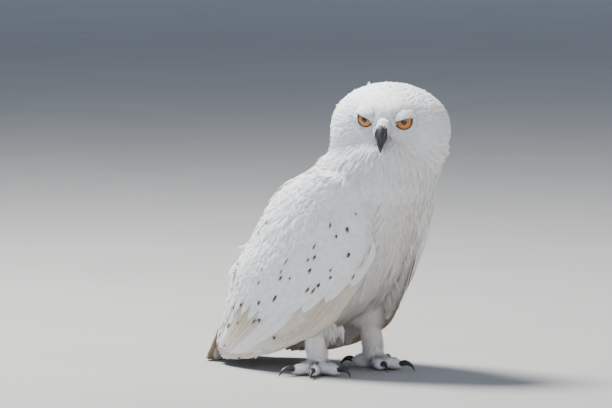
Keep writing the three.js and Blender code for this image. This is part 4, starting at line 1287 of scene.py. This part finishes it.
# ------------------------------------------------------------------ tail
# painted light and shade: the tail feathers are tinted strong tan (warm 0.75), partly for light shining through them
# and the shade under the body
fan = Vanes("tail_feathers", 5, mat_vane)
for j in range(6):
    for k in (-1, 1):
        mid = k * (0.10 + 0.148 * j)
        drop = 0.42 * j

        def place(s, lat, out, mid=mid, k=k, drop=drop):
            u = 0.02 + 0.995 * s
            half = 34 + (TAIL_HALF - 34) * sstep(u * 1.3)
            spread = 0.55 + 0.45 * sstep(s * 1.6)
            across = mid * spread + lat / half
            p = tail_point(across, u, 0.7 - drop - (0.25 if k < 0 else 0.0) + 0.42 * (k * lat / 12.0) + out)
            p[..., 2] = np.maximum(p[..., 2], 0.7)
            return p

        fan.add(place, 150, 27 - j * 0.6, tip=0.9, blunt=2.6, start=0.7, warm_mid=0.75, warm_edge=0.4, warm_tip=0.6, S=20)
plates.append(fan)


def fn_at(p):
    return fn[nearest(p)[1]]


tailc = Coat("coat_tail", lambda p: np.stack([0.01 + 0.47 * ((p[:, 0] + 50) / 100).clip(0, 1) + 0.5 * (fn_at(p)[:, 1] < 0), 0.01 + 0.97 * ((130 - p[:, 2]) / 135).clip(0, 1)], 1), mat_coat)
# painted light and shade: the plumes under the tail are tinted tan (warm 0.6) for the same shine-through light and
# shade
p, i = sow((fw["tail"] > 0.5) & (fn[:, 1] < -0.55) & (np.abs(fc[:, 0]) < 33), 5.5)
L = np.minimum(26.0, (p[:, 2] - 1.5) / 0.88)
lie = norm(tail_flow - (fn[i] @ tail_flow)[:, None] * fn[i] + rng.normal(0, 0.03, (len(p), 3)))
keep = (L > 7) & (lie @ tail_flow > 0.8)
tailc.plumes(p[keep], L[keep], 13.0, 6, 4, split=0.7, h0=0.1, h1=0.5, jitter=0.1, rag=0.05, warm=0.6, shade_root=0.04,
             path=strand((p + 1.0 * fn[i])[keep], lie[keep], fn[i][keep], L[keep], 4, bend=0.03 * fn[i][keep], tall=1.2))
# upper tail coverts
p, i = sow((fw["tail"] > 0.5) & (fn[:, 1] >= 0.1) & (fc[:, 2] > 68) & (np.abs(fc[:, 0]) < 34), 6.0)
L = np.full(len(p), 28.0)
lie = norm(tail_flow - (fn[i] @ tail_flow)[:, None] * fn[i] + rng.normal(0, 0.04, (len(p), 3)))
keep = lie @ tail_flow > 0.8
tailc.plumes(p[keep], L[keep], 13.0, 7, 4, split=0.65, h0=0.3, h1=1.0, jitter=0.2, rag=0.08, warm=0.10, shade_root=0.04,
             path=strand((p + 2.6 * fn[i])[keep], lie[keep], fn[i][keep], L[keep], 4, tall=1.6))
coats.append(tailc)

# ------------------------------------------------------------------ dark flecks
head_flecks = Coat("coat_flecks_head", head_unwrap, mat_fleck)
# (down the wing, across it, length in mm, width in mm)
MARKS = [
    (0.356, 0.688, 4.5, 2.6), (0.400, 0.718, 4.0, 3.2), (0.320, 0.260, 4.5, 1.8), (0.328, 0.168, 4.5, 3.4), (0.358, 0.220, 3.0, 2.4),
    (0.256, 0.108, 2.4, 1.4), (0.406, 0.312, 4.5, 1.5), (0.426, 0.135, 3.8, 3.4), (0.450, 0.280, 5.0, 2.2), (0.462, 0.300, 3.6, 1.5),
    (0.480, 0.397, 6.0, 1.2), (0.508, 0.258, 6.5, 2.8), (0.498, 0.168, 4.0, 1.6), (0.524, 0.147, 3.2, 2.6), (0.514, 0.048, 4.0, 1.4),
    (0.522, 0.387, 4.5, 1.5), (0.548, 0.370, 6.0, 2.4), (0.542, 0.325, 2.8, 2.0), (0.526, 0.497, 5.0, 1.2), (0.576, 0.473, 5.0, 1.4),
    (0.558, 0.178, 5.0, 2.6), (0.580, 0.212, 6.5, 2.2), (0.578, 0.185, 6.5, 1.8), (0.626, 0.338, 7.0, 2.4), (0.654, 0.410, 4.0, 3.0),
    (0.682, 0.522, 5.5, 3.2), (0.704, 0.575, 7.5, 2.2), (0.758, 0.620, 5.0, 2.2), (0.784, 0.557, 7.0, 3.0), (0.758, 0.483, 4.0, 2.4),
    (0.728, 0.348, 4.5, 3.4), (0.738, 0.372, 7.5, 2.0), (0.788, 0.145, 3.6, 3.6), (0.846, 0.615, 8.0, 2.8), (0.905, 0.700, 9.0, 2.6),
    (0.880, 0.443, 3.6, 2.2), (0.928, 0.090, 3.4, 3.0), (0.960, 0.560, 6.0, 2.4), (0.800, 0.665, 6.5, 2.4), (0.835, 0.725, 5.5, 2.2),
    (0.875, 0.650, 6.0, 2.6), (0.720, 0.700, 5.5, 2.0), (0.915, 0.615, 6.0, 2.2), (0.765, 0.755, 5.0, 2.0), (0.605, 0.620, 4.5, 1.8),
]
for side, tag in ((-1, "right"), (1, "left")):
    flecks = Coat(f"coat_flecks_{tag}", wing_unwrap(side), mat_fleck)
    coats.append(flecks)
    m = np.array(MARKS)
    if side > 0:
        m = m + rng.normal(0, 1, m.shape) * [0.022, 0.03, 0.3, 0.15]
        m = m[rng.permutation(len(m))[:30]]
    u, w, L, W = m.T
    L = L * 1.85
    s = np.linspace(0, 1, 4)[:, None]
    rate = np.linalg.norm(wing_point(u + 0.01, w, 0.0, side) - wing_point(u - 0.01, w, 0.0, side), axis=-1) / 0.02
    at = lambda shift: wing_point(u + (s - 0.5) * L / rate + shift, w + 0 * s, -1.1 + 0 * s + 0 * u, side)
    C = at(0)
    T = norm(at(0.002) - at(-0.002))
    N = norm(np.cross(T, wing_point(u + 0 * s, w + 0.01 + 0 * s, 0.0, side) - wing_point(u + 0 * s, w - 0.01 + 0 * s, 0.0, side)))
    N = np.where(((N * [side, 0, 0]).sum(-1, keepdims=True) + (N * [0, 1, 0]).sum(-1, keepdims=True) * 0.4) < 0, -N, N)
    flecks.plumes(C[0], L, W * 1.35, 3, 3, split=0.35, h0=0.0, h1=0.15, jitter=0.08, rag=0.16, narrow=0.4, point=0.1, cup=0.1, shade_root=0.0, path=(C, N, T, np.ones(C.shape[:2])), warm=0.0)
# the brown patch at the corner of the gape
L = 2.6 + 1.6 * rng.random(len(gape_root))
head_flecks.plumes(gape_root, L, 1.2, 2, 2, split=0.4, h0=0.0, h1=0.3, jitter=0.2, warm=0.15 + 0.5 * rng.random(len(L)), shade_root=0.0, path=strand(gape_root, gape_lie, gape_out, L, 2, tall=0.8))
# the dark inner corner of each eye
for s, k in (("left", 1), ("right", -1)):
    n = 16
    height, slope = LID_LINE[s]
    x = rng.uniform(-12.0, -8.6, n)
    z = height + slope * x + rng.uniform(-0.9, 0.7, n)
    ang, turn = np.hypot(x, z) / 17.0, np.arctan2(z, x)
    p = eye_place(s, ang, turn, eyeball_radius(ang) + 1.5)
    idx = nearest(p)[1]
    d = np.array([-k * 1.0, -0.35, slope * -0.6]) @ HT[:3, :3].T
    L = 1.6 + 1.0 * rng.random(n)
    head_flecks.plumes(p, L, 0.8, 2, 2, split=0.4, h0=0.0, h1=0.3, jitter=0.15, warm=0.05, shade_root=0.0,
                       path=strand(p, norm(d + rng.normal(0, 0.12, (n, 3))), fn[idx], L, 2, tall=0.8))
# faint marks on the crown
n = 16
seed = np.stack([rng.uniform(-30, 34, n), rng.uniform(-40, 10, n), np.full(n, 60.0)], 1)
p, idx = nearest(to_head(seed))
p = p + fn[idx] * 5.6
L = 2.6 + rng.random(n) * 2
head_flecks.plumes(p, L, 1.1, 2, 2, split=0.4, h0=0.0, h1=0.1, jitter=0.1, warm=0.75, shade_root=0.0, path=strand(p, ff[idx], fn[idx], L, 2, tall=0.5))
coats.append(head_flecks)
built = {c.name: c.build() for c in coats}
made = {v.name: v.build() for v in plates}
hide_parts("tail")

# ------------------------------------------------------------------ eyes
for s, k in (("left", 1), ("right", -1)):
    th = np.concatenate([np.linspace(0, 0.18, 4), np.linspace(0.19, 0.24, 5), np.linspace(0.27, 0.86, 18), np.linspace(0.95, np.pi, 12)])
    ph = np.arange(48) * 2 * np.pi / 48
    TH, PH = np.meshgrid(th[1:-1], ph, indexing="ij")
    local = np.stack([np.sin(TH) * np.cos(PH), -np.cos(TH), np.sin(TH) * np.sin(PH)], -1) * eyeball_radius(TH)[..., None]
    pts = np.concatenate([[[0, -EYEBALL * (1 + BULGE), 0]], local.reshape(-1, 3), [[0, EYEBALL, 0]]])
    ca, sa = math.cos(k * EYE_TOE), math.sin(k * EYE_TOE)
    turned = np.stack([pts[:, 0] * ca - pts[:, 1] * sa, pts[:, 0] * sa + pts[:, 1] * ca, pts[:, 2]], 1)
    R = len(th) - 2
    q = grid_faces(R, 48, True) + 1
    j = np.arange(48)
    caps = np.concatenate([np.stack([0 * j, 1 + j, 1 + (j + 1) % 48], 1), np.stack([0 * j + 1 + R * 48, 1 + (R - 1) * 48 + (j + 1) % 48, 1 + (R - 1) * 48 + j], 1)])
    world = to_head(turned + [k * EYE_X, EYE_Y, EYE_Z])
    ob = mesh_of(f"eyeball_{s}", world, [q[:, ::-1], caps], [mat_eye])
    ang = np.arccos((-pts[:, 1] / np.linalg.norm(pts, axis=1)).clip(-1, 1))
    for key, val in (
        ("pupil", 1 - sstep((ang - 0.195) / 0.03)), ("edge", sstep((ang - 0.42) / 0.26) * 0.9 + 0.35 * (1 - sstep((ang - 0.2) / 0.09))),
        ("outside", sstep((ang - 0.70) / 0.03)),
    ):
        at = ob.data.attributes.new(key, "FLOAT", "POINT")
        at.data.foreach_set("value", val.astype(np.float32))
    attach(ob, "root")
    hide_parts(f"eye_{s}")

# ------------------------------------------------------------------ bill and claws
bv, bf = limb(BILL_LINE, BILL_RADII, 32, 40, 4, 1, side=[1, 0, 0])
bill = mesh_of("bill_upper_horn", to_head(bv), bf, [mat_horn])
lv, lf = limb([[0, ry + 2, -4.0], [0, mixy(0.5), -6.6], [0, mixy(0.66) - 1, -10.5]], [5.2, 4.6, 1.6], 24, 20, 4, 0.8, side=[1, 0, 0])
chin = mesh_of("bill_lower_horn", to_head(lv), lf, [mat_horn])
for ob, n in ((bill, "bill_upper"), (chin, "bill_lower")):
    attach(ob, "root")
    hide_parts(n)
for s in ("left", "right"):
    x = FOOT_X if s == "left" else -FOOT_X
    for name, (deg, length) in TOES[s].items():
        a = math.radians(deg)
        dx, dy = math.sin(a), -math.cos(a)
        tip = 9 + length
        hook = 0.86 if name == "hind" else 1
        pts = [[x + dx * r, dy * r, z] for r, z in ((tip - 7, 8), (tip + 3, 10.8), (tip + 12 * hook, 9.2), (tip + 18 * hook, 4.6), (tip + 19.6 * hook, 0.9))]
        cv_, cf_ = limb(pts, [CLAW_R * 0.86, CLAW_R, CLAW_R * 0.8, CLAW_R * 0.46, 0.5], 14, 22, 5, 1)
        ob = mesh_of(f"claw_horn_{s}_{name}", cv_, cf_, [mat_horn])
        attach(ob, "root")
        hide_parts(f"claw_{s}_{name}")

# ------------------------------------------------------------------ floor, light and camera
plane = bpy.data.meshes.new("floor")
plane.from_pydata([(-60, -60, 0), (60, -60, 0), (60, 60, 0), (-60, 60, 0)], [], [(0, 1, 2, 3)])
floor = bpy.data.objects.new("floor", plane)
bpy.context.scene.collection.objects.link(floor)
mat_floor, nt, b = new_material("floor_pale")
near_floor = ramp(nt, noise(nt, 3, 2), [(0.3, (0.33, 0.33, 0.325, 1)), (0.7, (0.35, 0.35, 0.345, 1))])
# painted light: far off, where the lights don't reach, the floor is painted paler
co, far_off, spread = nt.nodes.new("ShaderNodeTexCoord"), nt.nodes.new("ShaderNodeVectorMath"), nt.nodes.new("ShaderNodeMapRange")
far_off.operation = "LENGTH"
nt.links.new(co.outputs["Object"], far_off.inputs[0])
nt.links.new(far_off.outputs["Value"], spread.inputs["Value"])
spread.inputs["From Min"].default_value, spread.inputs["From Max"].default_value = 9.0, 34.0
nt.links.new(mix_colour(nt, spread.outputs["Result"], near_floor, (0.86, 0.86, 0.85, 1)), b.inputs["Base Color"])
b.inputs["Roughness"].default_value = 0.9
plane.materials.append(mat_floor)

world = bpy.data.worlds.new("studio")
bpy.context.scene.world = world
world.use_nodes = True
bg = world.node_tree.nodes["Background"]
bg.inputs["Color"].default_value, bg.inputs["Strength"].default_value = (0.68, 0.80, 1.0, 1), 0.47

AZ, EL = math.radians(-45), math.radians(4.5)
right_v = Vector((math.cos(AZ), math.sin(AZ), 0))
back_v = Vector((math.sin(AZ) * math.cos(EL), -math.cos(AZ) * math.cos(EL), math.sin(EL)))
up_v = back_v.cross(right_v)
MM_PER_PIXEL, LENS, SENSOR = 1.3, 300.0, 36.0
px0, py0 = 346.0, 371.0
target = Vector(metres(np.zeros(3))) + right_v * ((306 - px0) * MM_PER_PIXEL / 1000) + up_v * ((py0 - 204) * MM_PER_PIXEL / 1000)
distance = 612 * MM_PER_PIXEL / 1000 * LENS / SENSOR
cam_data = bpy.data.cameras.new("camera")
cam_data.lens, cam_data.sensor_width, cam_data.clip_end = LENS, SENSOR, 200
cam = bpy.data.objects.new("camera", cam_data)
bpy.context.scene.collection.objects.link(cam)
cam.location = target + back_v * distance
cam.rotation_mode = "QUATERNION"
cam.rotation_quaternion = back_v.to_track_quat("Z", "Y")
bpy.context.scene.camera = cam


def area_light(name, direction, dist, size, power, colour):
    d = bpy.data.lights.new(name, "AREA")
    d.shape, d.size, d.energy, d.color = "DISK", size, power, colour
    ob = bpy.data.objects.new(name, d)
    bpy.context.scene.collection.objects.link(ob)
    mid = Vector(metres(np.array([0, 20, 200.0])))
    v = Vector(direction).normalized()
    ob.location = mid + v * dist
    ob.rotation_mode = "QUATERNION"
    ob.rotation_quaternion = v.to_track_quat("Z", "Y")
    return ob


# key from the upper left and a little behind, as seen by the camera
area_light("key", -right_v * 0.62 + Vector((0, 0, 1.45)) - back_v * 0.30, 3.2, 1.2, 400, (1.0, 0.97, 0.92))
area_light("fill", -right_v * 0.6 + Vector((0, 0, 0.35)) + back_v * 0.9, 4.0, 3.0, 38, (0.48, 0.68, 1.0))
area_light("warm", right_v * 0.9 + Vector((0, 0, 0.25)) + back_v * 0.35, 4.0, 2.0, 34, (1.0, 0.89, 0.75))
area_light("low", right_v * 0.1 + Vector((0, 0, 0.05)) + back_v * 1.0, 4.0, 2.2, 28, (1.0, 0.90, 0.78))
